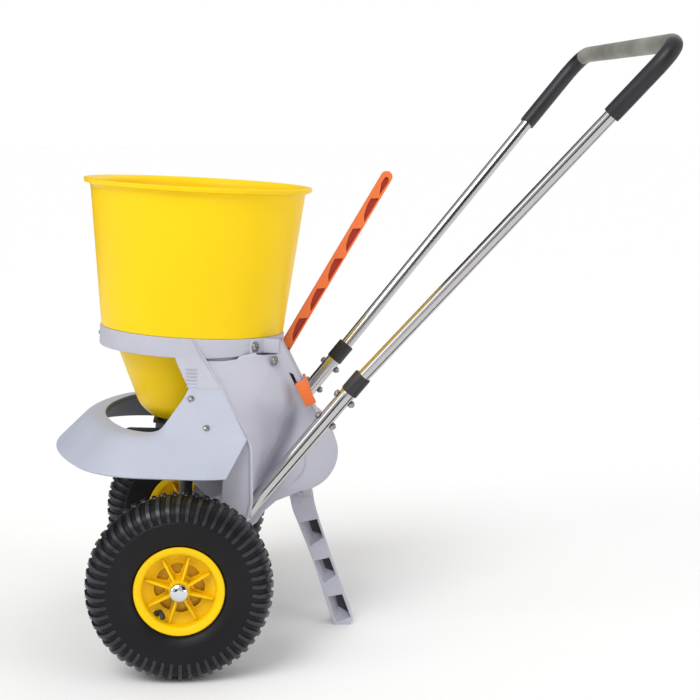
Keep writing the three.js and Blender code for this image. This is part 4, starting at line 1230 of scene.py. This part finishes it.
# name, place, what its upper face turns to, size: metres
PANELS = (
    ("panel_back_left", (-2.2, 2.4, 1.4), MIDDLE, (4.2, 3.4)),
    ("panel_behind_camera", (-1.75, -4.4, 0.5), MIDDLE, (1.5, 2.6)),
    ("panel_back_right", (2.4, 3.0, 0.7), MIDDLE, (0.8, 2.2)),
    ("panel_under_tube", (0.43, -0.235, 0.32), (0.26, -0.235, 0.585), (0.12, 1.0)),
    ("panel_right", (1.22, -1.43, 1.38), (0.42, 0.235, 0.62), (1.5, 1.7)),
    ("panel_low_front", (-1.1, -2.7, 0.03), (-1.1, -2.69, 1), (0.7, 1.6)),
)
BOX_LIGHT = ("box_left", (-2.9, -1.5, 1.6), (0.9, 2.4), 12)
LENS = 86.17
CAMERA_AT = (-0.18188, -2.48971, 0.78378)
CAMERA_TILT = 0.1441
CAMERA_TURN = -0.076


def aim(obj, towards, axis="Z"):
    obj.rotation_euler = Vector(towards).to_track_quat(axis, "Y").to_euler()


def add_light(name, kind, strength):
    light = bpy.data.lights.new(name, kind)
    light.energy = strength
    return linked(name, light)


def soft_sun(name, towards, strength, breadth):
    """A broad even light from one direction."""
    sun = add_light(name, "SUN", strength)
    sun.data.angle = radians(breadth)
    aim(sun, towards)


def soft_box(name, place, size, power):
    """A tall bright window for the polished tubes to reflect."""
    box = add_light(name, "AREA", power)
    box.data.shape = "RECTANGLE"
    box.data.size, box.data.size_y = size
    box.location = place
    aim(box, Vector(MIDDLE) - Vector(place), "-Z")


def staged(name, size, material):
    """A square of the stage, size metres from its middle to its edges."""
    bm = bmesh.new()
    bmesh.ops.create_grid(bm, x_segments=1, y_segments=1, size=size)
    obj = placed(name, bm)
    obj.data.materials.append(material)
    return obj


def dark_panel(name, place, target, size):
    """A dark panel that only reflections see. It gives polished metal its streaks."""
    panel = staged(name, 0.5, PANEL)
    panel.scale = (*size, 1)
    panel.location = place
    aim(panel, Vector(target) - Vector(place))
    panel.visible_camera = False
    panel.visible_diffuse = False
    panel.visible_shadow = False


def make_world():
    """White to the camera, and dimmer as a light."""
    world = bpy.data.worlds.new("studio")
    world.use_nodes = True
    nodes = world.node_tree.nodes
    links = world.node_tree.links
    share = nodes.new("ShaderNodeMapRange")
    share.inputs["To Min"].default_value = WORLD_LIGHT
    share.inputs["To Max"].default_value = 1.0
    rays = nodes.new("ShaderNodeLightPath")
    links.new(rays.outputs["Is Camera Ray"], share.inputs["Value"])
    links.new(share.outputs["Result"], nodes["Background"].inputs["Strength"])
    nodes["Background"].inputs["Color"].default_value = (1, 1, 1, 1)
    bpy.context.scene.world = world


def make_stage():
    staged("floor", 30, FLOOR)
    make_world()
    for sun in SUNS:
        soft_sun(*sun)
    for panel in PANELS:
        dark_panel(*panel)
    soft_box(*BOX_LIGHT)


def make_camera():
    data = bpy.data.cameras.new("camera")
    data.lens = LENS
    data.sensor_width = 36
    camera = linked("camera", data)
    camera.location = CAMERA_AT
    camera.rotation_euler = (pi / 2 - CAMERA_TILT, 0, CAMERA_TURN)
    bpy.context.scene.camera = camera


make_hopper()
make_front_frame()
make_guard()
make_rear_housing()
make_wheels()
make_axle()
make_spinner()
make_agitator()
make_outlet()
make_lever()
make_stop()
make_leg()
make_handle()
make_bar_sleeve()
make_fasteners()
carry_over()
make_stage()
make_camera()
bpy.context.scene.view_settings.view_transform = "Standard"
